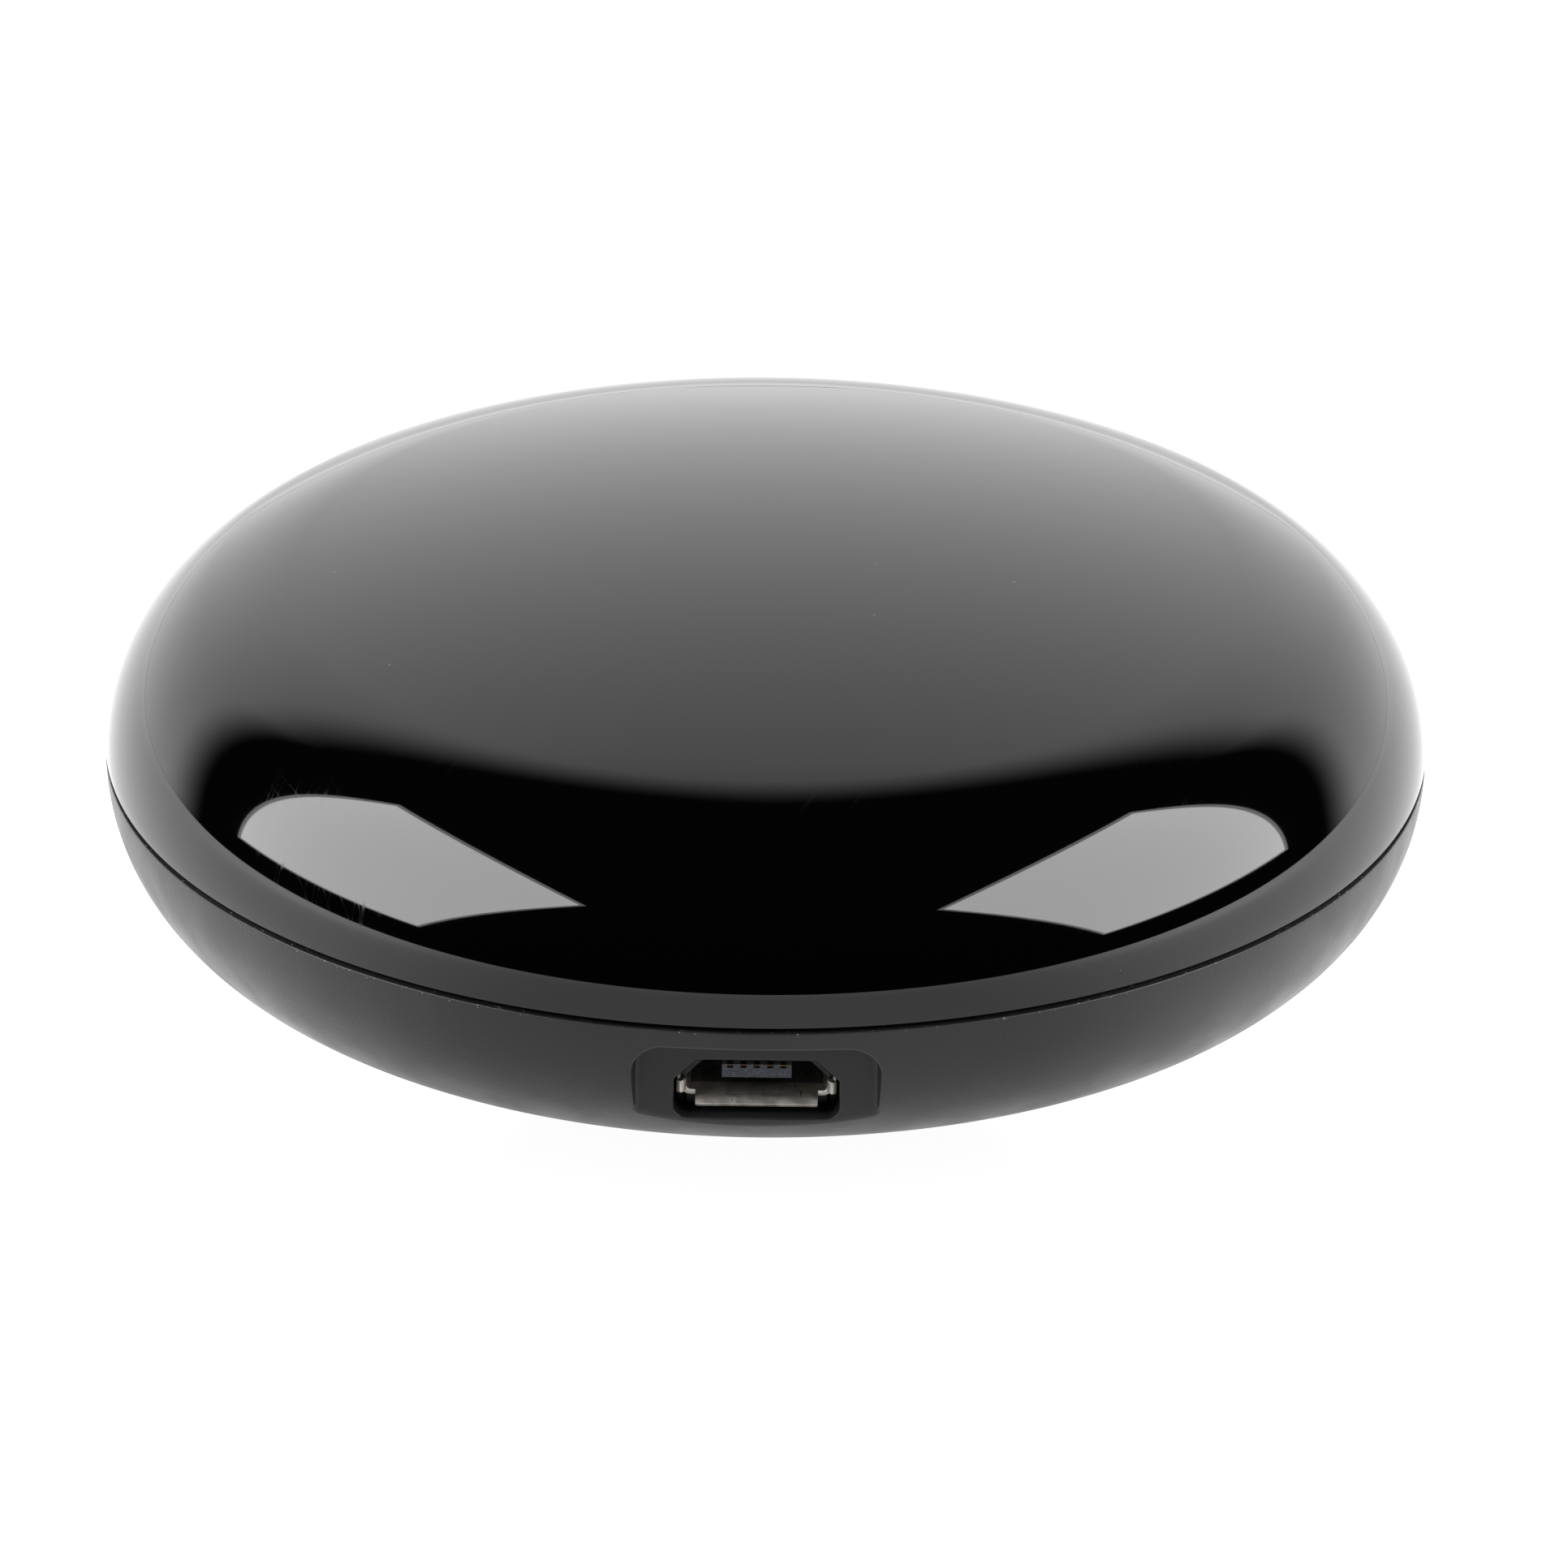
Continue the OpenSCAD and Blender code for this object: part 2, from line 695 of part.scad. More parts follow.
// Meander of the printed antenna
module module_antenna() {
    line_w = 0.6;
    runs = 6;
    run_l = 3.6;
    step = 2;
    start = -runs * step / 2;
    z = module_z + module_t;
    y_low = module_y + module_l / 2 - run_l - 0.9;
    color([0.85, 0.62, 0.3]) {
        for (i = [0 : runs])
            block([line_w, run_l, pad_t], [start + i * step, y_low + run_l / 2, z]);
        for (i = [0 : runs - 1])
            block([step + line_w, line_w, pad_t],
                  [start + (i + 0.5) * step, y_low + (i % 2 == 0 ? run_l - line_w / 2 : line_w / 2), z]);
    }
}

// ---------- Infrared emitters and receiver ----------

// Places a shape whose axis is +Z so that it points outwards and up
module emitter_frame() {
    translate([emitter_base_r, 0, emitter_base_z]) rotate([0, 90 - emitter_tilt, 0]) children();
}

module emitter_lens() {
    cylinder(r = emitter_flange_r, h = emitter_flange_t);
    cylinder(d = emitter_d, h = emitter_barrel_l);
    translate([0, 0, emitter_barrel_l]) sphere(d = emitter_d);
}

module emitter_lenses() {
    color([0.2, 0.22, 0.3, 0.9]) at_emitters() emitter_frame() emitter_lens();
}

// A round wire between two points in the X-Z plane, with round ends
module wire(from, to, y) {
    d = [to[0] - from[0], to[1] - from[1]];
    l = norm(d);
    translate([from[0], y, from[1]]) {
        rotate([0, atan2(d[0], d[1]), 0]) cylinder(r = lead_r, h = l);
        sphere(r = lead_r);
    }
}

// One lead: out of the flange, then down through the board
module emitter_lead(side) {
    y = side * lead_pitch / 2;
    turn = [emitter_base_r - lead_run, emitter_base_z - lead_run * tan(emitter_tilt)];
    flange_back = [emitter_base_r - lead_r * sin(emitter_tilt), emitter_base_z];
    difference() {
        union() {
            wire(turn, flange_back, y);
            translate([turn[0], y, pcb_z - lead_below])
                cylinder(r = lead_r, h = turn[1] - pcb_z + lead_below);
        }
        // The wire stops at the flange's back face
        emitter_frame() cylinder(r = emitter_flange_r, h = 2);
    }
}

module emitter_leads() {
    color([0.78, 0.77, 0.74]) at_emitters() for (side = [-1, 1]) emitter_lead(side);
}

receiver_w = 5.6;
receiver_t = 3;
receiver_h = 6.4;
receiver_z = pcb_top_z + 2.4;

module receiver_body() {
    color([0.09, 0.07, 0.08]) around(receiver_angle, receiver_r) translate([0, 0, receiver_z]) {
        block([receiver_t, receiver_w, receiver_h]);
        intersection() {
            translate([receiver_t / 2 - 0.9, 0, receiver_h - 2.6]) sphere(r = 2.2);
            block([6, receiver_w - 0.2, receiver_h], [3, 0, 0]);
        }
    }
}

module receiver_leads() {
    color([0.78, 0.77, 0.74]) around(receiver_angle, receiver_r) for (i = [-1 : 1])
        translate([-1.2, i * lead_pitch * 0.98, pcb_z - lead_below])
            cylinder(r = lead_r, h = receiver_z - pcb_z + lead_below);
}

// ---------- Power parts ----------

// A moulded body with sloping sides: two stacked blocks under a smaller top
module moulded_body(size, stand) {
    inset = 0.12;
    translate([0, 0, stand]) {
        block([size[0], size[1], size[2] * 0.45], [0, 0, 0]);
        block([size[0] - 2 * inset, size[1] - 2 * inset, size[2]], [0, 0, 0]);
    }
}

// Gull-wing lead that leaves a body along -Y
module gull_lead(w, reach, rise) {
    t = 0.15;
    block([w, reach * 0.45, t], [0, -reach * 0.225, rise]);
    block([w, t, rise + t], [0, -reach * 0.45, 0]);
    block([w, reach * 0.55, t], [0, -reach * 0.725, 0]);
}

regulator_size = [6.5, 3.5, 1.6];
// Gap between the regulator and the head of the screw beside it
regulator_gap = 0.99;
regulator_at = [
    screw_circle_r * cos(screw_angles[2]) + screw_head_r + regulator_gap + regulator_size[0] / 2,
    -15
];
regulator_stand = 0.1;

module regulator_frame() {
    translate([regulator_at[0], regulator_at[1], pcb_top_z]) children();
}

module regulator_body() {
    color([0.06, 0.06, 0.06]) regulator_frame() moulded_body(regulator_size, regulator_stand);
}

module regulator_leads() {
    rise = 0.6;
    color([0.78, 0.77, 0.74]) regulator_frame() {
        for (i = [-1 : 1]) translate([i * 2.3, -regulator_size[1] / 2, 0]) gull_lead(0.7, 1.7, rise);
        translate([0, regulator_size[1] / 2, 0]) mirror([0, 1, 0]) gull_lead(3, 1.7, rise);
    }
}

driver_size = [2.9, 1.3, 1];
driver_spots = [[11, -5.5], [11, -0.5], [11, 4.5]];

module at_drivers() {
    for (p = driver_spots) translate([p[0], p[1], pcb_top_z]) children();
}

module driver_bodies() {
    color([0.06, 0.06, 0.06]) at_drivers() moulded_body(driver_size, 0.05);
}

module driver_leads() {
    color([0.78, 0.77, 0.74]) at_drivers() {
        for (side = [-1, 1]) translate([side * 0.95, -driver_size[1] / 2, 0]) gull_lead(0.4, 0.6, 0.4);
        translate([0, driver_size[1] / 2, 0]) mirror([0, 1, 0]) gull_lead(0.4, 0.6, 0.4);
    }
}

can_r = 2.5;
can_base_w = 5.3;
can_base_t = 0.9;
can_h = 4.6;
can_spots = [[-11.6, -5], [2.6, -16.6]];

module at_cans() {
    for (p = can_spots) translate([p[0], p[1], pcb_top_z]) children();
}

module capacitor_bases() {
    color([0.07, 0.07, 0.07]) at_cans() difference() {
        block([can_base_w, can_base_w, can_base_t], [0, 0, 0.12]);
        for (side = [-1, 1]) translate([can_base_w / 2, side * can_base_w / 2, 0])
            rotate([0, 0, 45]) block([1.6, 1.6, 4], [0, 0, -1]);
    }
}

// Rolled aluminium can with a groove above its base and vent lines pressed in its top
module capacitor_cans() {
    groove_z = 0.7;
    color([0.82, 0.82, 0.8]) at_cans() translate([0, 0, 0.12 + can_base_t]) difference() {
        rotate_extrude() polygon([
            [0, 0], [can_r, 0], [can_r, groove_z], [can_r - 0.2, groove_z + 0.25],
            [can_r, groove_z + 0.5], [can_r, can_h - 0.3], [can_r - 0.3, can_h], [0, can_h]
        ]);
        for (a = [0, 60, 120]) rotate([0, 0, a]) block([3.2, 0.2, 1], [0, 0, can_h - 0.08]);
    }
}

module capacitor_leads() {
    color([0.78, 0.77, 0.74]) at_cans() for (side = [-1, 1])
        block([2.4, 0.7, 0.12], [side * 2.2, 0, 0]);
}

// Chip parts: [x, y, turn]
chip_size = [1.25, 1.25, 0.6];
chip_cap_l = 0.38;
capacitor_spots = [
    [-1.7, -13.6, 90], [-1.7, -16.6, 90], [-1.7, -19.6, 90], [-10.4, 0.5, 90], [-10.4, 3.5, 90], [10.6, 10.8, 0]
];
resistor_spots = [
    [13.9, -4.5, 90], [13.9, -0.5, 90], [13.9, 3.5, 90], [10.6, 8.6, 0],
    [-10.4, 6.5, 90], [-10.4, 9.3, 90], [2.6, -12.5, 0], [2.6, -21, 0]
];

module at_chips(spots) {
    for (p = spots) translate([p[0], p[1], pcb_top_z]) rotate([0, 0, p[2]]) children();
}

module ceramic_capacitors() {
    color([0.62, 0.5, 0.36]) at_chips(capacitor_spots)
        block([chip_size[0], chip_size[1], chip_size[2] * 1.4]);
}

module chip_resistors() {
    color([0.05, 0.05, 0.06]) at_chips(resistor_spots) block(chip_size);
}

module end_caps(h) {
    for (side = [-1, 1]) block([chip_cap_l, chip_size[1], h],
        [side * (chip_size[0] + chip_cap_l) / 2, 0, 0]);
}

module chip_end_caps() {
    color([0.8, 0.8, 0.78]) {
        at_chips(capacitor_spots) end_caps(chip_size[2] * 1.4);
        at_chips(resistor_spots) end_caps(chip_size[2]);
    }
}

led_size = [2, 1.25, 0.4];
led_y = 22.3;
led_angle = 110;

module led_frame() {
    around(led_angle, led_y) translate([0, 0, pcb_top_z]) rotate([0, 0, 90]) children();
}

module status_led_body() {
    color([0.9, 0.9, 0.86]) led_frame() block(led_size);
}

module status_led_lens() {
    color([0.6, 0.7, 0.95]) led_frame() block([1.3, 1.15, 0.5], [0, 0, led_size[2]]);
}

diode_size = [4.2, 2.6, 2];
diode_at = [-6.4, -21.4];

module diode_frame() {
    translate([diode_at[0], diode_at[1], pcb_top_z]) children();
}

module input_diode_body() {
    color([0.06, 0.06, 0.06]) diode_frame() moulded_body(diode_size, 0.1);
}

module input_diode_leads() {
    color([0.78, 0.77, 0.74]) diode_frame() for (side = [-1, 1])
        translate([side * diode_size[0] / 2, 0, 0]) rotate([0, 0, side * 90]) gull_lead(1.4, 0.9, 0.7);
}

top_cover();
base_shell();
foot_ring();
main_pcb();
pcb_pads();
pcb_screws();
usb_shell();
usb_insulator();
usb_contacts();
reset_button_cap();
reset_switch_stem();
reset_switch_body();
reset_switch_frame();
reset_switch_terminals();
module_board();
module_shield();
module_antenna();
module_joints();
emitter_lenses();
emitter_leads();
receiver_body();
receiver_leads();
regulator_body();
regulator_leads();
driver_bodies();
driver_leads();
capacitor_cans();
capacitor_bases();
capacitor_leads();
ceramic_capacitors();
chip_resistors();
chip_end_caps();
status_led_body();
status_led_lens();
input_diode_body();
input_diode_leads();
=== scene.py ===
"""Gloss-topped infrared hub around its CAD frame: camera, studio, materials and detailed pieces."""

import json
import math

import bmesh
import bpy
import numpy as np
from mathutils import Matrix, Vector


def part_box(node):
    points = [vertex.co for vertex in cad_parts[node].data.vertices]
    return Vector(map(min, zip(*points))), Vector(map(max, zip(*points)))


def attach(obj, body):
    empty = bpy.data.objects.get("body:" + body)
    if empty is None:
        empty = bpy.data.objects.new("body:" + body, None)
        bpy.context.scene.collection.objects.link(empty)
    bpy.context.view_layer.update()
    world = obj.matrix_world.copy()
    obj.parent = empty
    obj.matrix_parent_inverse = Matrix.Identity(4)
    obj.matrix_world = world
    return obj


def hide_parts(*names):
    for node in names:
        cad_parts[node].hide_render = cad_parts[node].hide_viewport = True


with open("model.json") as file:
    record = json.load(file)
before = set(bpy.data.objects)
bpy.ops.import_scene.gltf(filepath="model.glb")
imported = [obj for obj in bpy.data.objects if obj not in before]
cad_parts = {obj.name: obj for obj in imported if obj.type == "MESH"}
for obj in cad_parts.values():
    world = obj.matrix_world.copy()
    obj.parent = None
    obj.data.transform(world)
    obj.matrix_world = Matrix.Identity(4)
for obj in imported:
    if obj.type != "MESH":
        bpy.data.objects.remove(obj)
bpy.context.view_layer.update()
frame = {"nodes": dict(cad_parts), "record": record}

MM = 0.001
nodes = frame["nodes"]


def box_mm(node):
    low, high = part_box(node)
    return np.array(low) / MM, np.array(high) / MM


# ---------------------------------------------------------------- sizes in mm, as in the CAD part
BODY_R = 33.0
WALL = 1.8
GAP = 0.3                       # open seam between the shells
BOARD_T = 1.2
TOP_EDGE_R = 8.5
BASE_EDGE_R = 9.15
BLEND_R = 20.0
EDGE_ANGLE = 65.0
CROWN_ANGLE = 78.0
UNDERSIDE_R = 20.0
TONGUE_H = 1.4
TONGUE_CLEAR = 0.1
POCKET_W = 12.2
POCKET_DEPTH = 2.44
POCKET_DROP = 1.08
POCKET_R = 1.8
PORT_WALL = 1.36
USB_W = 6.9
USB_H = 1.85
USB_T = 0.275
USB_BEVEL = 0.8
USB_DEPTH = 5.0
USB_SETBACK = 0.72
SLOT_W = USB_W + 2 * USB_T + 0.65
SLOT_TOP_CLEAR = 0.05
SLOT_LIP_ROOM = 0.67
SLOT_H = USB_H + 2 * USB_T + SLOT_TOP_CLEAR + SLOT_LIP_ROOM
SLOT_DROP = (SLOT_LIP_ROOM - SLOT_TOP_CLEAR) / 2
SLOT_CORNER_R = 0.65
SLOT_BEVEL = 1.1
PORT_DROP = 4.0
FOOT_OD = 37.0
FOOT_ID = 29.0
FOOT_GROOVE = 0.4
SEAM_Z = box_mm("base_shell")[1][2] - TONGUE_H
UNDERSIDE_Z = box_mm("base_shell")[0][2]
FLAT = UNDERSIDE_Z - SEAM_Z     # the underside, measured up from the seam
FACET_Y = -(BODY_R - POCKET_DEPTH)
PORT_Z = SEAM_Z - PORT_DROP
MOUTH_Y = FACET_Y + USB_SETBACK
BUTTON_Y = 6.0
BUTTON_D = 4.0


# ---------------------------------------------------------------- profile of the shells
def profile_arcs(edge_r):
    """The three tangent arcs of a shell: centre, radius, first and last angle in degrees."""
    def at(angle):
        return np.array([math.cos(math.radians(angle)), math.sin(math.radians(angle))])

    c1 = np.array([BODY_R - edge_r, 0.0])
    c2 = c1 + (edge_r - BLEND_R) * at(EDGE_ANGLE)
    crown = BLEND_R + c2[0] / math.cos(math.radians(CROWN_ANGLE))
    c3 = c2 + (BLEND_R - crown) * at(CROWN_ANGLE)
    return [(c1, edge_r, 0.0, EDGE_ANGLE),
            (c2, BLEND_R, EDGE_ANGLE, CROWN_ANGLE),
            (c3, crown, CROWN_ANGLE, 90.0)]


def shell_curve(edge_r, inset, counts, first_angle=0.0):
    """Points (r, z) of a shell's surface from near the seam to the axis, z away from the seam."""
    pts = []
    for (centre, r, a0, a1), n in zip(profile_arcs(edge_r), counts):
        a0 = max(a0, first_angle)
        for k in range(n + 1):
            if k == 0 and pts:
                continue
            a = math.radians(a0 + (a1 - a0) * k / n)
            pts.append((centre[0] + (r - inset) * math.cos(a), centre[1] + (r - inset) * math.sin(a)))
    pts[-1] = (0.0, pts[-1][1])
    return pts


def corner(p, q, s, radius, n=5):
    """Replaces corner q of the path p-q-s by an arc."""
    p, q, s = (np.array(v, float) for v in (p, q, s))
    u = (p - q) / np.linalg.norm(p - q)
    v = (s - q) / np.linalg.norm(s - q)
    half = math.acos(max(-1.0, min(1.0, float(u @ v)))) / 2
    reach = radius / math.tan(half)
    centre = q + (u + v) / np.linalg.norm(u + v) * radius / math.sin(half)
    a = q + u * reach - centre
    b = q + v * reach - centre
    total = math.acos(max(-1.0, min(1.0, float(a @ b) / radius ** 2)))
    out = []
    for k in range(n + 1):
        t = k / n
        w = (math.sin((1 - t) * total) * a + math.sin(t * total) * b) / math.sin(total)
        out.append(tuple(centre + w))
    return out


# ---------------------------------------------------------------- mesh helpers
def new_object(name, verts_mm, faces, body, replaces=(), normals=None, smooth=True):
    mesh = bpy.data.meshes.new(name)
    mesh.from_pydata([tuple(v * MM for v in p) for p in verts_mm], [], [tuple(f) for f in faces])
    mesh.validate()
    if smooth:
        mesh.shade_smooth()
    if normals is not None:
        mesh.normals_split_custom_set_from_vertices([tuple(n) for n in normals])
    obj = bpy.data.objects.new(name, mesh)
    bpy.context.scene.collection.objects.link(obj)
    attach(obj, body)
    if replaces:
        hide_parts(*replaces)
    return obj


def lathe(profile, n):
    """Closed surface of revolution. The profile runs from axis to axis, or is a closed loop off it."""
    verts, faces, rings = [], [], []
    for r, z in profile:
        if r < 1e-9:
            rings.append([len(verts)])
            verts.append((0.0, 0.0, z))
        else:
            rings.append(list(range(len(verts), len(verts) + n)))
            for k in range(n):
                a = 2 * math.pi * k / n
                verts.append((r * math.sin(a), -r * math.cos(a), z))
    closed = len(rings[0]) > 1
    pairs = list(zip(rings, rings[1:] + (rings[:1] if closed else [])))
    for a, b in pairs:
        for k in range(n):
            j = (k + 1) % n
            if len(a) == 1 and len(b) == 1:
                continue
            if len(a) == 1:
                faces.append((a[0], b[k], b[j]))
            elif len(b) == 1:
                faces.append((a[k], b[0], a[j]))
            else:
                faces.append((a[k], b[k], b[j], a[j]))
    return verts, faces


def fix_normals(obj):
    bm = bmesh.new()
    bm.from_mesh(obj.data)
    bmesh.ops.recalc_face_normals(bm, faces=bm.faces)
    bm.to_mesh(obj.data)
    bm.free()


def sharpen(obj, degrees=35):
    obj.data.set_sharp_from_angle(angle=math.radians(degrees))


# ---------------------------------------------------------------- camera, at the photograph's angle
CAM_AZ = 0.52
CAM_EL = 25.08
CAM_DIST = 1000.0
CAM_ROLL = 0.51
LENS = 458.8
AIM_RIGHT = 0.918               # mm from the seam's centre: the object sits a little left of the middle
AIM_DOWN = 1.95                 # and a little above it


def make_camera():
    az, el = math.radians(CAM_AZ), math.radians(CAM_EL)
    away = Vector((math.sin(az) * math.cos(el), -math.cos(az) * math.cos(el), math.sin(el)))
    right = Vector((math.cos(az), math.sin(az), 0))
    up = right.cross(-away)
    roll = math.radians(CAM_ROLL)
    level_right, level_up = right, up
    right = level_right * math.cos(roll) + level_up * math.sin(roll)
    up = level_up * math.cos(roll) - level_right * math.sin(roll)
    aim = Vector((0, 0, SEAM_Z)) + right * AIM_RIGHT - up * AIM_DOWN
    turn = Matrix((right, up, away)).transposed().to_4x4()
    data = bpy.data.cameras.new("camera")
    data.sensor_width = 36
    data.lens = LENS
    data.clip_start = 0.01
    data.clip_end = 50
    cam = bpy.data.objects.new("camera", data)
    cam.matrix_world = Matrix.Translation((aim + away * CAM_DIST) * MM) @ turn
    bpy.context.scene.collection.objects.link(cam)
    bpy.context.scene.camera = cam


# ---------------------------------------------------------------- node helpers
class Graph:
    """Short way to write node trees."""

    def __init__(self, tree):
        self.tree = tree
        self.links = tree.links

    def node(self, kind, **settings):
        n = self.tree.nodes.new(kind)
        for key, value in settings.items():
            setattr(n, key, value)
        return n

    def put(self, socket, value):
        if isinstance(value, bpy.types.NodeSocket):
            self.links.new(value, socket)
        elif value is not None:
            socket.default_value = value

    def math(self, op, a, b=None, c=None, clamp=False):
        n = self.node("ShaderNodeMath", operation=op, use_clamp=clamp)
        for socket, value in zip(n.inputs, (a, b, c)):
            self.put(socket, value)
        return n.outputs[0]

    def ramp(self, value, a, b, out_a=0.0, out_b=1.0, smooth=True):
        n = self.node("ShaderNodeMapRange", interpolation_type="SMOOTHSTEP" if smooth else "LINEAR")
        for socket, v in zip(n.inputs, (value, a, b, out_a, out_b)):
            self.put(socket, v)
        return n.outputs[0]

    def mix(self, factor, a, b):
        n = self.node("ShaderNodeMix", data_type="RGBA")
        self.put(n.inputs[0], factor)
        self.put(n.inputs[6], a)
        self.put(n.inputs[7], b)
        return n.outputs[2]

    def noise(self, coords, scale, detail=2.0, rough=0.5, distort=0.0):
        n = self.node("ShaderNodeTexNoise")
        self.put(n.inputs["Vector"], coords)
        n.inputs["Scale"].default_value = scale
        n.inputs["Detail"].default_value = detail
        n.inputs["Roughness"].default_value = rough
        n.inputs["Distortion"].default_value = distort
        return n.outputs[0]

    def coords(self):
        return self.node("ShaderNodeTexCoord").outputs["Object"]

    def stretch(self, coords, scale=(1, 1, 1), turn=(0, 0, 0)):
        n = self.node("ShaderNodeMapping")
        self.put(n.inputs["Vector"], coords)
        n.inputs["Scale"].default_value = scale
        n.inputs["Rotation"].default_value = turn
        return n.outputs[0]

    def bump(self, height, distance, strength=1.0, normal=None):
        n = self.node("ShaderNodeBump")
        self.put(n.inputs["Height"], height)
        n.inputs["Distance"].default_value = distance
        n.inputs["Strength"].default_value = strength
        if normal is not None:
            self.put(n.inputs["Normal"], normal)
        return n.outputs[0]


def material(name, **shader):
    mat = bpy.data.materials.new(name)
    mat.use_nodes = True
    g = Graph(mat.node_tree)
    bsdf = mat.node_tree.nodes["Principled BSDF"]
    for key, value in shader.items():
        bsdf.inputs[key.replace("_", " ")].default_value = value
    return mat, g, bsdf


def rgb(*c):
    return (*c, 1.0)


# ---------------------------------------------------------------- materials
def specks(g, coords, scale, size, share):
    """Mask of small round specks, one in a share of the cells."""
    v = g.node("ShaderNodeTexVoronoi")
    g.put(v.inputs["Vector"], coords)
    v.inputs["Scale"].default_value = scale
    cell = g.node("ShaderNodeSeparateColor")
    g.put(cell.inputs[0], v.outputs["Color"])
    there = g.math("LESS_THAN", cell.outputs[0], share)
    radius = g.math("MULTIPLY", cell.outputs[1], size)
    dot = g.math("LESS_THAN", v.outputs["Distance"], radius)
    return g.math("MULTIPLY", there, dot)


def hairlines(g, coords, turn, scale, width):
    """Mask of thin, long, broken scratches in one direction."""
    line = g.stretch(g.stretch(coords, turn=turn), (scale, scale * 0.03, scale * 0.03))
    n = g.noise(line, 1.0, detail=1.0)
    off = g.math("ABSOLUTE", g.math("SUBTRACT", n, 0.5))
    thin = g.ramp(off, 0.0, width, 1.0, 0.0)
    breaks = g.ramp(g.noise(coords, 90.0, detail=1.0), 0.56, 0.66)
    return g.math("MULTIPLY", thin, breaks)


def gloss_black():
    mat, g, bsdf = material("gloss_black", Roughness=0.04, IOR=1.5)
    co = g.coords()
    scratches = g.math("MAXIMUM", hairlines(g, co, (0, 0, 0.49), 1500, 0.01),
                       hairlines(g, co, (0, 0, -0.5), 1300, 0.008))
    dust = g.math("MULTIPLY", specks(g, co, 1300.0, 0.09, 0.02), 0.5)
    smear = g.noise(co, 60.0, detail=3.0)
    g.put(bsdf.inputs["Base Color"], g.mix(dust, rgb(0.0004, 0.0004, 0.0005), rgb(0.1, 0.1, 0.1)))
    rough = g.ramp(smear, 0.35, 0.75, 0.02, 0.035)
    rough = g.math("ADD", rough, g.math("MULTIPLY", scratches, 0.10))
    g.put(bsdf.inputs["Roughness"], g.math("ADD", rough, g.math("MULTIPLY", dust, 0.5)))
    g.put(bsdf.inputs["Normal"], g.bump(g.noise(co, 40.0, detail=2.0), 0.00002, 0.15))
    return mat


def matte_black():
    mat, g, bsdf = material("matte_black", IOR=1.4)
    co = g.coords()
    grain = g.noise(co, 5200.0, detail=2.0, rough=0.6)
    cloud = g.noise(co, 110.0, detail=3.0)
    tone = g.mix(g.ramp(cloud, 0.3, 0.7), rgb(0.0098, 0.0098, 0.0106), rgb(0.013, 0.013, 0.0138))
    # A little dust, and along the base's edge at the seam a broken light line: partly burrs, partly a
    # painted highlight of the edge's sheen
    height = g.node("ShaderNodeSeparateXYZ")
    g.put(height.inputs[0], co)
    from_edge = g.math("ABSOLUTE", g.math("SUBTRACT", height.outputs[2], (SEAM_Z - GAP / 2 - 0.07) * MM))
    at_edge = g.math("LESS_THAN", from_edge, 0.1 * MM)
    # Light marks on the seam's edge: burrs, and painted highlight for the edge's sheen
    edge_burrs_and_sheen = g.math("MULTIPLY", specks(g, g.stretch(co, (1, 1, 2.2)), 8000.0, 0.42, 0.09), at_edge)
    dust = g.math("MULTIPLY", specks(g, co, 1500.0, 0.1, 0.02), 0.6)
    g.put(bsdf.inputs["Base Color"], g.mix(g.math("MAXIMUM", dust, edge_burrs_and_sheen), tone, rgb(0.16, 0.16, 0.155)))
    g.put(bsdf.inputs["Roughness"], g.ramp(g.noise(co, 320.0, detail=3.0), 0.3, 0.7, 0.34, 0.42))
    g.put(bsdf.inputs["Normal"], g.bump(grain, 0.00003, 0.35))
    return mat


def moulded(name, dark, light, rough=(0.4, 0.55), grain=3000.0, depth=0.00002, **extra):
    mat, g, bsdf = material(name, **extra)
    co = g.coords()
    cloud = g.noise(co, 250.0, detail=3.0)
    g.put(bsdf.inputs["Base Color"], g.mix(g.ramp(cloud, 0.3, 0.7), rgb(*dark), rgb(*light)))
    g.put(bsdf.inputs["Roughness"], g.ramp(g.noise(co, 700.0, detail=2.0), 0.3, 0.7, *rough))
    g.put(bsdf.inputs["Normal"], g.bump(g.noise(co, grain, detail=2.0), depth, 0.4))
    return mat


def metal(name, dark, light, rough=(0.2, 0.35), streak=(1, 1, 1), scale=900.0):
    mat, g, bsdf = material(name, Metallic=1.0)
    co = g.coords()
    grain = g.noise(g.stretch(co, streak), scale, detail=3.0, rough=0.6)
    wear = g.noise(co, 400.0, detail=3.0)
    g.put(bsdf.inputs["Base Color"], g.mix(g.ramp(wear, 0.35, 0.7), rgb(*dark), rgb(*light)))
    g.put(bsdf.inputs["Roughness"], g.ramp(grain, 0.3, 0.7, *rough))
    g.put(bsdf.inputs["Normal"], g.bump(grain, 0.00001, 0.3))
    return mat


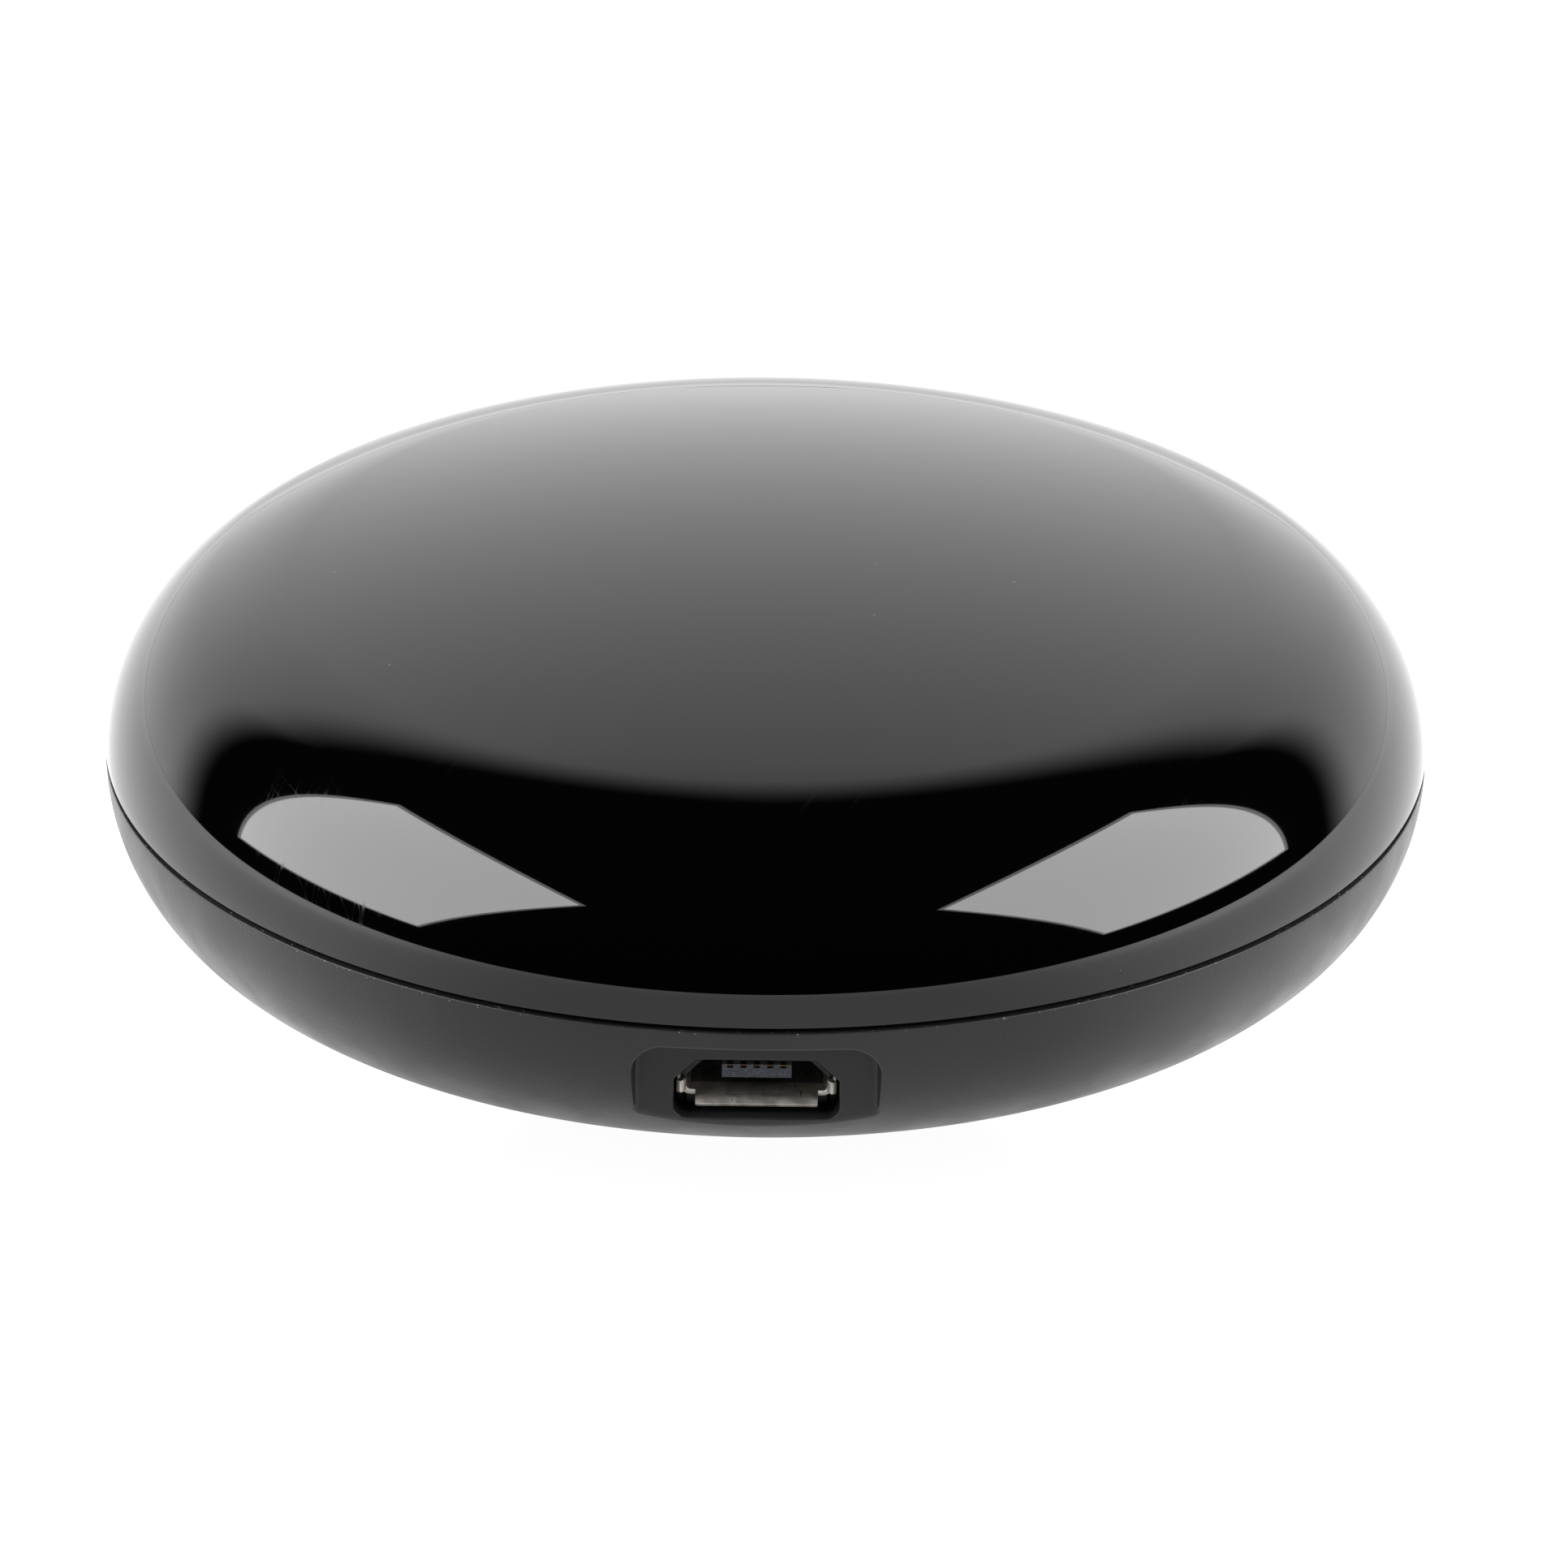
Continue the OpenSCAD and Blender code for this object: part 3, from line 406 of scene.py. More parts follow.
def port_steel():
    """Nickel-plated sheet, satin from plugging, with fine wear near the mouth; its front rim is darkened
    as a raw cut edge and also as painted shade, and its legs are darkened as painted shade.
    """
    mat, g, bsdf = material("port_steel", Metallic=1.0)
    co = g.coords()
    place = g.node("ShaderNodeSeparateXYZ")
    g.put(place.inputs[0], co)
    from_mouth = g.math("SUBTRACT", place.outputs[1], MOUTH_Y * MM)
    # Front rim: a raw cut edge, darkened also as painted shade for the dark gap at the mouth
    rim = g.math("LESS_THAN", g.math("ABSOLUTE", from_mouth), 0.006 * MM)
    # Legs below the shell, behind the mouth: darkened as painted shade, where they stand unlit
    low = g.math("LESS_THAN", place.outputs[2], (PORT_Z - USB_H / 2 - USB_T) * MM)
    leg_painted_shade = g.math("MULTIPLY", low, g.math("GREATER_THAN", from_mouth, 0.3 * MM))
    cut_edge_and_painted_shade = g.math("MAXIMUM", rim, leg_painted_shade)
    lines = g.noise(g.stretch(co, (9000, 500, 9000)), 1.0, detail=2.0)
    wear = g.ramp(lines, 0.60, 0.68)
    patches = g.ramp(g.noise(co, 1500.0, detail=2.0), 0.55, 0.65)
    cloud = g.noise(co, 700.0, detail=3.0)
    tone = g.mix(g.ramp(cloud, 0.3, 0.7), rgb(0.6, 0.57, 0.52), rgb(0.74, 0.71, 0.66))
    tone = g.mix(g.math("MULTIPLY", wear, patches), tone, rgb(0.12, 0.11, 0.1))
    # Painted shade: the rim and the legs turn near black
    g.put(bsdf.inputs["Base Color"], g.mix(cut_edge_and_painted_shade, tone, rgb(0.03, 0.03, 0.03)))
    g.put(bsdf.inputs["Roughness"], g.ramp(g.noise(co, 2500.0, detail=2.0), 0.3, 0.7, 0.4, 0.55))
    g.put(bsdf.inputs["Normal"], g.bump(lines, 0.00001, 0.3))
    return mat


def port_plastic():
    """Bluish glass-filled plastic, scuffed on the tongue's front and paler on the floor behind it."""
    mat, g, bsdf = material("port_plastic")
    co = g.coords()
    place = g.node("ShaderNodeSeparateXYZ")
    g.put(place.inputs[0], co)
    front = g.math("LESS_THAN", place.outputs[1], (MOUTH_Y + 0.3) * MM)
    fibres = g.ramp(g.noise(g.stretch(co, (1, 3, 3)), 9000.0, detail=3.0), 0.42, 0.62)
    face = g.mix(fibres, rgb(0.012, 0.015, 0.021), rgb(0.06, 0.072, 0.096))
    floor = g.mix(fibres, rgb(0.05, 0.05, 0.05), rgb(0.08, 0.079, 0.077))
    g.put(bsdf.inputs["Base Color"], g.mix(front, floor, face))
    g.put(bsdf.inputs["Roughness"], g.ramp(fibres, 0.0, 1.0, 0.5, 0.32))
    g.put(bsdf.inputs["Normal"], g.bump(fibres, 0.00001, 0.5))
    return mat


def clear_epoxy(name, tint, rough):
    mat, g, bsdf = material(name, IOR=1.5)
    bsdf.inputs["Transmission Weight"].default_value = 0.6
    co = g.coords()
    g.put(bsdf.inputs["Base Color"], g.mix(g.ramp(g.noise(co, 300.0), 0.3, 0.7), rgb(*tint),
                                          rgb(*(c * 0.8 for c in tint))))
    g.put(bsdf.inputs["Roughness"], g.ramp(g.noise(co, 500.0), 0.3, 0.7, rough, rough + 0.08))
    return mat


def board(name, mask, trace):
    """Solder mask over copper: traces show as slightly lighter, raised runs."""
    mat, g, bsdf = material(name, IOR=1.5)
    co = g.coords()
    brick = g.node("ShaderNodeTexBrick", offset=0.37, squash=1.6)
    g.put(brick.inputs["Vector"], g.stretch(co, (260, 260, 260)))
    brick.inputs["Color1"].default_value = rgb(0, 0, 0)
    brick.inputs["Color2"].default_value = rgb(0.25, 0.25, 0.25)
    brick.inputs["Mortar"].default_value = rgb(1, 1, 1)
    brick.inputs["Mortar Size"].default_value = 0.06
    height = g.node("ShaderNodeSeparateColor")
    g.put(height.inputs[0], brick.outputs["Color"])
    g.put(bsdf.inputs["Base Color"], g.mix(height.outputs[0], rgb(*mask), rgb(*trace)))
    g.put(bsdf.inputs["Roughness"], g.ramp(g.noise(co, 500.0), 0.3, 0.7, 0.25, 0.36))
    g.put(bsdf.inputs["Normal"], g.bump(height.outputs[0], 0.00003, 0.5))
    return mat


MATS = {
    "gloss_black": gloss_black(),
    "matte_black": matte_black(),
    "foot_rubber": moulded("foot_rubber", (0.014, 0.014, 0.014), (0.024, 0.024, 0.024), (0.75, 0.88),
                           1800.0, 0.00004),
    "board_black": board("board_black", (0.006, 0.0065, 0.007), (0.012, 0.013, 0.014)),
    "board_blue": board("board_blue", (0.008, 0.02, 0.07), (0.015, 0.04, 0.13)),
    "gold_plate": metal("gold_plate", (0.75, 0.52, 0.2), (0.87, 0.64, 0.29), (0.18, 0.3)),
    "steel": metal("steel", (0.46, 0.46, 0.45), (0.6, 0.6, 0.58), (0.25, 0.4)),
    "nickel_steel": metal("nickel_steel", (0.58, 0.55, 0.5), (0.74, 0.71, 0.66), (0.42, 0.56),
                          (1, 6, 6)),
    "tin": metal("tin", (0.58, 0.57, 0.54), (0.7, 0.69, 0.66), (0.3, 0.45)),
    "port_plastic": port_plastic(),
    "chip_plastic": moulded("chip_plastic", (0.012, 0.012, 0.012), (0.02, 0.02, 0.02), (0.5, 0.62)),
    "button_plastic": moulded("button_plastic", (0.02, 0.02, 0.021), (0.028, 0.028, 0.03),
                              (0.35, 0.45)),
    "lens_epoxy": clear_epoxy("lens_epoxy", (0.35, 0.38, 0.6), 0.05),
    "can_metal": metal("can_metal", (0.68, 0.68, 0.67), (0.8, 0.8, 0.79), (0.22, 0.36),
                       (1, 1, 0.1)),
    "ceramic": moulded("ceramic", (0.32, 0.22, 0.13), (0.42, 0.3, 0.19), (0.45, 0.6)),
    "white_plastic": moulded("white_plastic", (0.72, 0.72, 0.68), (0.8, 0.8, 0.77), (0.35, 0.5)),
    "led_epoxy": clear_epoxy("led_epoxy", (0.6, 0.7, 0.95), 0.08),
}

for part in frame["record"]["subparts"]:
    node = nodes[part["node"]]
    node.data.materials.clear()
    node.data.materials.append(MATS[part["material_slot"]])

# The port's contacts: gold darkened to brown as painted shade, for the shade of the tongue's ribs
contact_shade_mat = metal("contact_painted_shade", (0.07, 0.04, 0.02), (0.12, 0.075, 0.035), (0.35, 0.5))
nodes["usb_contacts"].data.materials[0] = contact_shade_mat


def dress(obj, slot):
    obj.data.materials.clear()
    obj.data.materials.append(MATS[slot])


# ---------------------------------------------------------------- top cover
TURNS = 360
EDGE_FILLET = 0.05
GROOVE_CLEAR = 0.1              # above the tongue
GROOVE_CHAMFER = 0.06
EDGE_SHY = 0.004                # the seam's edge stays this far inside the body's radius


def make_cover():
    outer = shell_curve(TOP_EDGE_R, 0.0, (46, 16, 40), first_angle=3.0)
    inner = shell_curve(TOP_EDGE_R, WALL, (20, 8, 14), first_angle=13.0)
    low = GAP / 2
    tongue_r = BODY_R - WALL / 2
    groove_top = TONGUE_H + GROOVE_CLEAR
    start = (BODY_R - EDGE_SHY, low)
    lip = corner(outer[1], start, (tongue_r, low), EDGE_FILLET)
    inner_r = inner[0][0]
    groove = [(tongue_r + GROOVE_CHAMFER, low), (tongue_r, low + GROOVE_CHAMFER),
              (tongue_r, groove_top), (inner_r, groove_top)]
    profile = list(reversed(outer[1:])) + lip + groove + inner
    verts, faces = lathe([(r, z + SEAM_Z) for r, z in profile], TURNS)
    obj = new_object("cover", verts, faces, "housing", ("top_cover",))
    fix_normals(obj)
    sharpen(obj, 50)
    dress(obj, "gloss_black")
    return obj


# ---------------------------------------------------------------- base shell, a distance field at the port
def bowl_distance(r, z, edge_r, inset):
    """Signed distance to the filled bowl; z is measured down from the seam, negative is inside."""
    (c1, r1, _, a1), (c2, r2, _, a2), (c3, r3, _, _) = profile_arcs(edge_r)

    def pos(c, rad):
        dx, dz = r - c[0], z - c[1]
        return np.hypot(dx, dz) - rad, np.degrees(np.arctan2(dz, dx))

    d1, _ = pos(c1, r1 - inset)
    d2, t2 = pos(c2, r2 - inset)
    d3, t3 = pos(c3, r3 - inset)
    out = np.where(t3 > a2, d3, np.where(t2 > a1, d2, d1))
    return np.maximum(out, z - (-FLAT - inset))


def round_and(a, b, r):
    """Intersection of two solids with a round edge."""
    return np.minimum(-r, np.maximum(a, b)) + np.hypot(np.maximum(r + a, 0), np.maximum(r + b, 0))


def outline_distance(x, z, half_w, top, corner_r):
    """Signed distance in the XZ plane to a shape with round top corners and no bottom; z is up."""
    qx = np.abs(x) - (half_w - corner_r)
    qz = z - (top - corner_r)
    return np.hypot(np.maximum(qx, 0), np.maximum(qz, 0)) + np.minimum(np.maximum(qx, qz), 0) - corner_r


DRAFT = math.tan(math.radians(7.0))
MOUTH_SPREAD = 0.13             # the nominal width is met halfway down the pocket's sides
MOUTH_FILLET = 0.15
FACET_FILLET = 0.25
LOOP_FILLET = 0.4


def pocket_distance(x, y, z):
    """Signed distance to the pocket's cutter. Its walls lean in from the mouth to the facet."""
    side = outline_distance(x, z, POCKET_W / 2 + MOUTH_SPREAD, -POCKET_DROP, POCKET_R)
    side = (side + (y + BODY_R) * DRAFT) / math.hypot(1, DRAFT)
    return round_and(side, y - FACET_Y, FACET_FILLET)


def base_distance(p):
    """The base's outer surface: bowl less pocket, z up from the seam."""
    x, y, z = p[..., 0], p[..., 1], p[..., 2]
    bowl = bowl_distance(np.hypot(x, y), -z, BASE_EDGE_R, 0.0)
    return round_and(bowl, -pocket_distance(x, y, z), MOUTH_FILLET)


def gradient(field, p, step=1e-3):
    g = np.empty_like(p)
    for k in range(3):
        d = np.zeros(3)
        d[k] = step
        g[..., k] = field(p + d) - field(p - d)
    return g / np.maximum(np.linalg.norm(g, axis=-1, keepdims=True), 1e-12)


def trace_back(field, x, z, start=-36.0, end=-27.0):
    """Where a line along +Y first meets the solid: steps by the distance, then halving."""
    y = np.full_like(x, start)
    for _ in range(220):
        d = field(np.stack([x, y, z], -1))
        y = np.minimum(y + np.maximum(d, 0) * 0.7, end)
    low, high = y - 0.02, y + 0.02
    for _ in range(30):
        mid = (low + high) / 2
        inside = field(np.stack([x, mid, z], -1)) < 0
        high = np.where(inside, mid, high)
        low = np.where(inside, low, mid)
    return (low + high) / 2


def ray_to_outline(field, centre, directions, reach=12.0):
    """Distance along each ray from the centre to where a 2D field turns positive."""
    low = np.zeros(len(directions))
    high = np.full(len(directions), reach)
    for _ in range(40):
        mid = (low + high) / 2
        p = centre + directions * mid[:, None]
        inside = field(p[:, 0], p[:, 1]) < 0
        low = np.where(inside, mid, low)
        high = np.where(inside, high, mid)
    return (low + high) / 2


def slot_field(x, z):
    """Signed distance to the slot's outline, z up from the seam."""
    zc = z + PORT_DROP + SLOT_DROP
    qx = np.abs(x) - (SLOT_W / 2 - SLOT_CORNER_R)
    qz = np.abs(zc) - (SLOT_H / 2 - SLOT_CORNER_R)
    outside = np.hypot(np.maximum(qx, 0), np.maximum(qz, 0))
    rounded = outside + np.minimum(np.maximum(qx, qz), 0) - SLOT_CORNER_R
    bevel = (np.abs(x) + zc - (SLOT_W / 2 + SLOT_H / 2 - SLOT_BEVEL)) / math.sqrt(2)
    return np.maximum(rounded, bevel)


def pocket_loop(x, z):
    """Outline that the facet's border follows: pocket at the top and sides, bowl's edge at the bottom."""
    lean = POCKET_DEPTH * DRAFT
    half_w = POCKET_W / 2 + MOUTH_SPREAD - lean
    top = outline_distance(x, z, half_w, -POCKET_DROP - lean, POCKET_R - lean)
    bottom = bowl_distance(np.hypot(x, FACET_Y), -z, BASE_EDGE_R, 0.0)
    return round_and(top, bottom, LOOP_FILLET)


# Windows left in the lathe's outside and inside in front of the port, z up from the seam
WINDOW_COLUMNS = 15             # on each side of the port, one a degree
WINDOW_TOP = -0.5
WINDOW_BOTTOM = -7.9
INNER_WINDOW_COLUMNS = 18
INNER_WINDOW_BOTTOM = -7.1
FINE = 4                        # fine vertices to each coarse one around a window
SLOT_FILLET = 0.12
# Block behind the facet, z up from the seam
BLOCK_HALF_W = POCKET_W / 2 + 2
BLOCK_TOP = -0.6
BLOCK_BOTTOM = -6.3
BLOCK_STEPS = 24                # vertices to each of its sides
# The section: where the outside's arcs start in degrees, and the steps in each arc
OUTER_START = 1.2
OUTER_STEPS = (52, 16, 22)
INNER_START = 6.0
INNER_STEPS = (40, 8, 12)
FLOOR_RINGS = (15.5, 18.5)      # radii on the floor inside
UNDERSIDE_EASE = 0.25
SEAM_SHY = 0.003                # the seam's edge stays this far inside the body's radius
# Chamfers and clearances of the tongue, the foot's groove and the button's hole
TONGUE_ROOT = 0.4
TONGUE_CHAMFER_IN = 0.15
TONGUE_CHAMFER_OUT = 0.2
FOOT_CLEAR = 0.01
FOOT_CHAMFER = 0.1
HOLE_CLEAR = 0.15
HOLE_EDGE = 0.08
DISH_MARGIN = 2
DISH_DEPTH = 0.25


class Skin:
    """Gathers vertices, faces and the normals that are known exactly."""

    def __init__(self):
        self.verts, self.faces, self.normals = [], [], {}

    def ring(self, points, normals=None):
        first = len(self.verts)
        self.verts.extend(tuple(p) for p in points)
        ids = list(range(first, len(self.verts)))
        if normals is not None:
            self.normals.update(zip(ids, (tuple(n) for n in normals)))
        return ids

    def bridge(self, a, b, skip=()):
        """Quads between two closed rings of the same length."""
        n = len(a)
        for k in range(n):
            if k not in skip:
                j = (k + 1) % n
                self.faces.append((a[k], a[j], b[j], b[k]))

    def fan(self, coarse, fine):
        """Joins a coarse ring to one with FINE vertices for each of its own."""
        n = len(coarse)
        half = FINE // 2
        for k in range(n):
            j = (k + 1) % n
            run = [fine[(FINE * k + i) % len(fine)] for i in range(FINE + 1)]
            for i in range(half):
                self.faces.append((coarse[k], run[i + 1], run[i]))
            self.faces.append((coarse[k], coarse[j], run[half]))
            for i in range(half, FINE):
                self.faces.append((coarse[j], run[i + 1], run[i]))

    def zipper(self, a, b, centre):
        """Triangles between two closed rings of any lengths, both star-shaped about a point in XZ."""
        def turn(i):
            return math.atan2(self.verts[i][2] - centre[1], self.verts[i][0] - centre[0])

        def in_order(ids):
            ids = list(ids)
            if sum(math.sin(turn(q) - turn(p)) for p, q in zip(ids, ids[1:])) < 0:
                ids.reverse()
            k = min(range(len(ids)), key=lambda i: turn(ids[i]))
            return ids[k:] + ids[:k]

        a, b = in_order(a), in_order(b)
        # A ring that is used up has its next vertex put past every other, so the other ring goes on
        i = j = 0
        while i < len(a) or j < len(b):
            next_a = turn(a[i + 1]) if i + 1 < len(a) else math.pi + (0 if i < len(a) else 9)
            next_b = turn(b[j + 1]) if j + 1 < len(b) else math.pi + (0 if j < len(b) else 9)
            if next_a <= next_b:
                self.faces.append((a[i % len(a)], a[(i + 1) % len(a)], b[j % len(b)]))
                i += 1
            else:
                self.faces.append((a[i % len(a)], b[(j + 1) % len(b)], b[j % len(b)]))
                j += 1

    def build(self, name, body, replaces, slot):
        obj = new_object(name, self.verts, self.faces, body, replaces)
        fix_normals(obj)
        mesh = obj.data
        sharpen(obj, 40)
        corner_normals = np.empty(len(mesh.loops) * 3, np.float32)
        mesh.corner_normals.foreach_get("vector", corner_normals)
        corner_normals = corner_normals.reshape(-1, 3)
        owner = np.empty(len(mesh.loops), np.int32)
        mesh.loops.foreach_get("vertex_index", owner)
        for i, v in enumerate(owner):
            if v in self.normals:
                corner_normals[i] = self.normals[v]
        mesh.normals_split_custom_set(corner_normals)
        dress(obj, slot)
        return obj


def round_rings(profile, skin, arc=None):
    """Rings of a lathe. arc gives the exact normal's angle for a profile index, or None."""
    rings = []
    for i, (r, z) in enumerate(profile):
        pts, nrm = [], []
        for k in range(TURNS):
            a = 2 * math.pi * k / TURNS
            pts.append((r * math.sin(a), -r * math.cos(a), z))
            if arc and arc[i] is not None:
                c, d = math.cos(arc[i]), math.sin(arc[i])
                nrm.append((c * math.sin(a), -c * math.cos(a), d))
        rings.append(skin.ring(pts, nrm if nrm else None))
    return rings


def window_loop(rings, first, last, columns):
    """Vertex ids around a window of a lathe, from the front: along the top, right, bottom and left."""
    col = list(range(-columns, columns + 1))
    top = [rings[first][k % TURNS] for k in col]
    right = [rings[i][columns] for i in range(first + 1, last)]
    bottom = [rings[last][k % TURNS] for k in reversed(col)]
    left = [rings[i][-columns % TURNS] for i in range(last - 1, first, -1)]
    return top + right + bottom + left


def loop_normals(points):
    """Outward normals of a closed clockwise loop in the XZ plane."""
    step = np.roll(points, -1, 0) - np.roll(points, 1, 0)
    n = np.stack([-step[:, 1], step[:, 0]], 1)
    n /= np.maximum(np.linalg.norm(n, axis=1, keepdims=True), 1e-9)
    middle = points.mean(0)
    flip = np.sign(((points - middle) * n).sum(1, keepdims=True))
    return n * flip


def densify(points):
    nxt = np.roll(points, -1, 0)
    t = (np.arange(FINE) / FINE)[None, :, None]
    return (points[:, None, :] * (1 - t) + nxt[:, None, :] * t).reshape(-1, 2)


def inner_y(x, z):
    """Y of the inside wall around the port: the bowl's inner face, or the facet's block."""
    r = BODY_R - BASE_EDGE_R + np.sqrt(np.maximum((BASE_EDGE_R - WALL) ** 2 - z * z, 0))
    bowl = -np.sqrt(r * r - x * x)
    on_block = (np.abs(x) < BLOCK_HALF_W) & (z < BLOCK_TOP)
    return np.where(on_block, np.maximum(bowl, FACET_Y + PORT_WALL), bowl)


def base_section():
    """The base's section as a closed loop of (r, z) in four stretches: inner wall, tongue, outside and
    foot. The fifth value is the exact angle of the outside's normals."""
    low = -GAP / 2
    tongue_out = BODY_R - WALL / 2 - TONGUE_CLEAR
    tongue_in = BODY_R - WALL
    # Inner wall from the floor up, over the tongue, and down the outside to the underside
    arcs_in = [(r, -z) for r, z in shell_curve(BASE_EDGE_R, WALL, INNER_STEPS, INNER_START)]
    arcs_in = [p for p in arcs_in if p[1] > FLAT + WALL + 0.02]
    wall = [(r, FLAT + WALL) for r in FLOOR_RINGS] + list(reversed(arcs_in))
    tongue = [(tongue_in, TONGUE_ROOT), (tongue_in, TONGUE_H - TONGUE_CHAMFER_IN),
              (tongue_in + TONGUE_CHAMFER_IN, TONGUE_H), (tongue_out - TONGUE_CHAMFER_OUT, TONGUE_H),
              (tongue_out, TONGUE_H - TONGUE_CHAMFER_OUT), (tongue_out, low)]
    outer = [(r, -z) for r, z in shell_curve(BASE_EDGE_R, 0.0, OUTER_STEPS, OUTER_START)]
    angles = [OUTER_START]
    for end, n in zip((EDGE_ANGLE, CROWN_ANGLE, 90), OUTER_STEPS):
        start = angles[-1]
        angles += [start + (end - start) * k / n for k in range(1, n + 1)]
    keep = [i for i, (r, z) in enumerate(outer) if z > FLAT + 0.01]
    outer = [outer[i] for i in keep]
    angles = [-math.radians(angles[i]) for i in keep]
    tongue += corner((tongue_out, low), (BODY_R - SEAM_SHY, low), outer[1], EDGE_FILLET, 6)
    edge = FOOT_CHAMFER
    groove_out = FOOT_OD / 2 + FOOT_CLEAR
    groove_in = FOOT_ID / 2 - FOOT_CLEAR
    foot = [(UNDERSIDE_R + UNDERSIDE_EASE, FLAT + 0.004), (UNDERSIDE_R - UNDERSIDE_EASE, FLAT),
            (FOOT_OD / 2 + edge, FLAT),
            (groove_out, FLAT + edge), (groove_out, FLAT + FOOT_GROOVE),
            (groove_in, FLAT + FOOT_GROOVE), (groove_in, FLAT + edge), (FOOT_ID / 2 - edge, FLAT)]
    return wall, tongue, outer[1:], foot, angles[1:]


def surface_ring(skin, xz):
    """A ring on the base's outer surface, from its places in XZ."""
    y = trace_back(base_distance, xz[:, 0], xz[:, 1])
    p = np.stack([xz[:, 0], y, xz[:, 1]], 1)
    return skin.ring(p, gradient(base_distance, p))


def outside_patch(skin, loop, centre):
    """From the window's border over the pocket and through the slot. Gives back the innermost ring."""
    border = densify(np.array([(skin.verts[i][0], skin.verts[i][2]) for i in loop]))
    away = border - centre
    away /= np.linalg.norm(away, axis=1)[:, None]
    mouth = ray_to_outline(pocket_loop, centre, away)
    slot = ray_to_outline(slot_field, centre, away)
    mouth_pts = centre + away * mouth[:, None]
    slot_pts = centre + away * slot[:, None]
    mouth_n = loop_normals(mouth_pts)
    slot_n = loop_normals(slot_pts)
    room_out = np.linalg.norm(border[None, :, :] - mouth_pts[:, None, :], axis=2).min(axis=1)
    room_in = mouth - slot
    # Border to pocket, then closer and closer rings over the pocket's edge, and on to the facet
    chain = []
    near = mouth_pts + mouth_n * np.minimum(0.8, room_out * 0.6)[:, None]
    for t in (0.06, 0.2, 0.35, 0.5, 0.65, 0.8, 0.92):
        chain.append(surface_ring(skin, border * (1 - t) + near * t))
    for d in (0.8, 0.68, 0.58, 0.52, 0.47, 0.43, 0.39, 0.36, 0.33, 0.31, 0.29, 0.27, 0.25, 0.235,
              0.22, 0.2, 0.18, 0.16, 0.14, 0.12, 0.1, 0.08, 0.06, 0.04, 0.02, 0.0):
        out = np.minimum(d, room_out * 0.75 * d)
        chain.append(surface_ring(skin, mouth_pts + mouth_n * out[:, None]))
    inward = np.minimum(0.6, room_in * 0.5)
    for t in (0.06, 0.12, 0.2, 0.3, 0.42, 0.56, 0.75, 1.0):
        chain.append(surface_ring(skin, mouth_pts - away * (inward * t)[:, None]))
    fillet = np.minimum(SLOT_FILLET, room_in * 0.25)
    brink = slot_pts + slot_n * fillet[:, None]
    inner_edge = mouth_pts - away * inward[:, None]
    for t in (0.25, 0.5, 0.75, 0.92):
        chain.append(surface_ring(skin, inner_edge * (1 - t) + brink * t))
    # Round the slot's edge and back through the wall
    y0 = trace_back(base_distance, brink[:, 0], brink[:, 1])
    n0 = gradient(base_distance, np.stack([brink[:, 0], y0, brink[:, 1]], 1))
    into = np.stack([-slot_n[:, 0], np.zeros(len(slot_n)), -slot_n[:, 1]], 1)
    for k in range(7):
        phi = math.radians(90 * k / 6)
        xz = slot_pts + slot_n * (fillet * (1 - math.sin(phi)))[:, None]
        p = np.stack([xz[:, 0], y0 + fillet * (1 - math.cos(phi)), xz[:, 1]], 1)
        nrm = n0 * math.cos(phi) + into * math.sin(phi)
        nrm /= np.linalg.norm(nrm, axis=1, keepdims=True)
        chain.append(skin.ring(p, nrm))
    back = inner_y(slot_pts[:, 0], slot_pts[:, 1])
    for t in (0.33, 0.66):
        y = y0 + fillet + (back - y0 - fillet) * t
        chain.append(skin.ring(np.stack([slot_pts[:, 0], y, slot_pts[:, 1]], 1), into))
    chain.append(skin.ring(np.stack([slot_pts[:, 0], back, slot_pts[:, 1]], 1)))
    skin.fan(loop, chain[0])
    for a, b in zip(chain, chain[1:]):
        skin.bridge(a, b)
    return chain[-1]


def inside_patch(skin, loop, slot_ring, centre):
    """From the slot over the block that carries the facet, out to the window's border."""
    w, top, bottom = BLOCK_HALF_W, BLOCK_TOP, BLOCK_BOTTOM
    share = np.linspace(0, 1, BLOCK_STEPS, endpoint=False)[:, None]
    corners = [(-w, top), (w, top), (w, bottom), (-w, bottom)]
    rect = np.concatenate([np.array(p) * (1 - share) + np.array(q) * share
                           for p, q in zip(corners, corners[1:] + corners[:1])])
    middle = np.array([0.0, (top + bottom) / 2])
    rims = []
    for spread in (0.999, 1.001):
        xz = middle + (rect - middle) * spread
        rims.append(skin.ring(np.stack([xz[:, 0], inner_y(xz[:, 0], xz[:, 1]), xz[:, 1]], 1)))
    face, root = rims
    skin.zipper(slot_ring, face, centre)
    skin.bridge(face, root)
    skin.zipper(root, loop, middle)


def underside(skin, first, last):
    """Dish and hole for the reset button in the underside, and the floor inside."""
    hole = BUTTON_D / 2 + HOLE_CLEAR
    dish = BUTTON_D / 2 + DISH_MARGIN
    floor = FLAT + WALL
    sunk = FLAT + DISH_DEPTH
    steps = [(dish + HOLE_EDGE, FLAT), (dish, FLAT + 0.06), (dish - 0.04, sunk),
             (hole + HOLE_EDGE, sunk), (hole, sunk + HOLE_EDGE), (hole, floor), (hole + 4, floor)]
    angles = [2 * math.pi * k / TURNS for k in range(TURNS)]
    for r, z in steps:
        ring = skin.ring([(r * math.sin(a), BUTTON_Y - r * math.cos(a), z) for a in angles])
        skin.bridge(first, ring)
        first = ring
    skin.bridge(first, last)


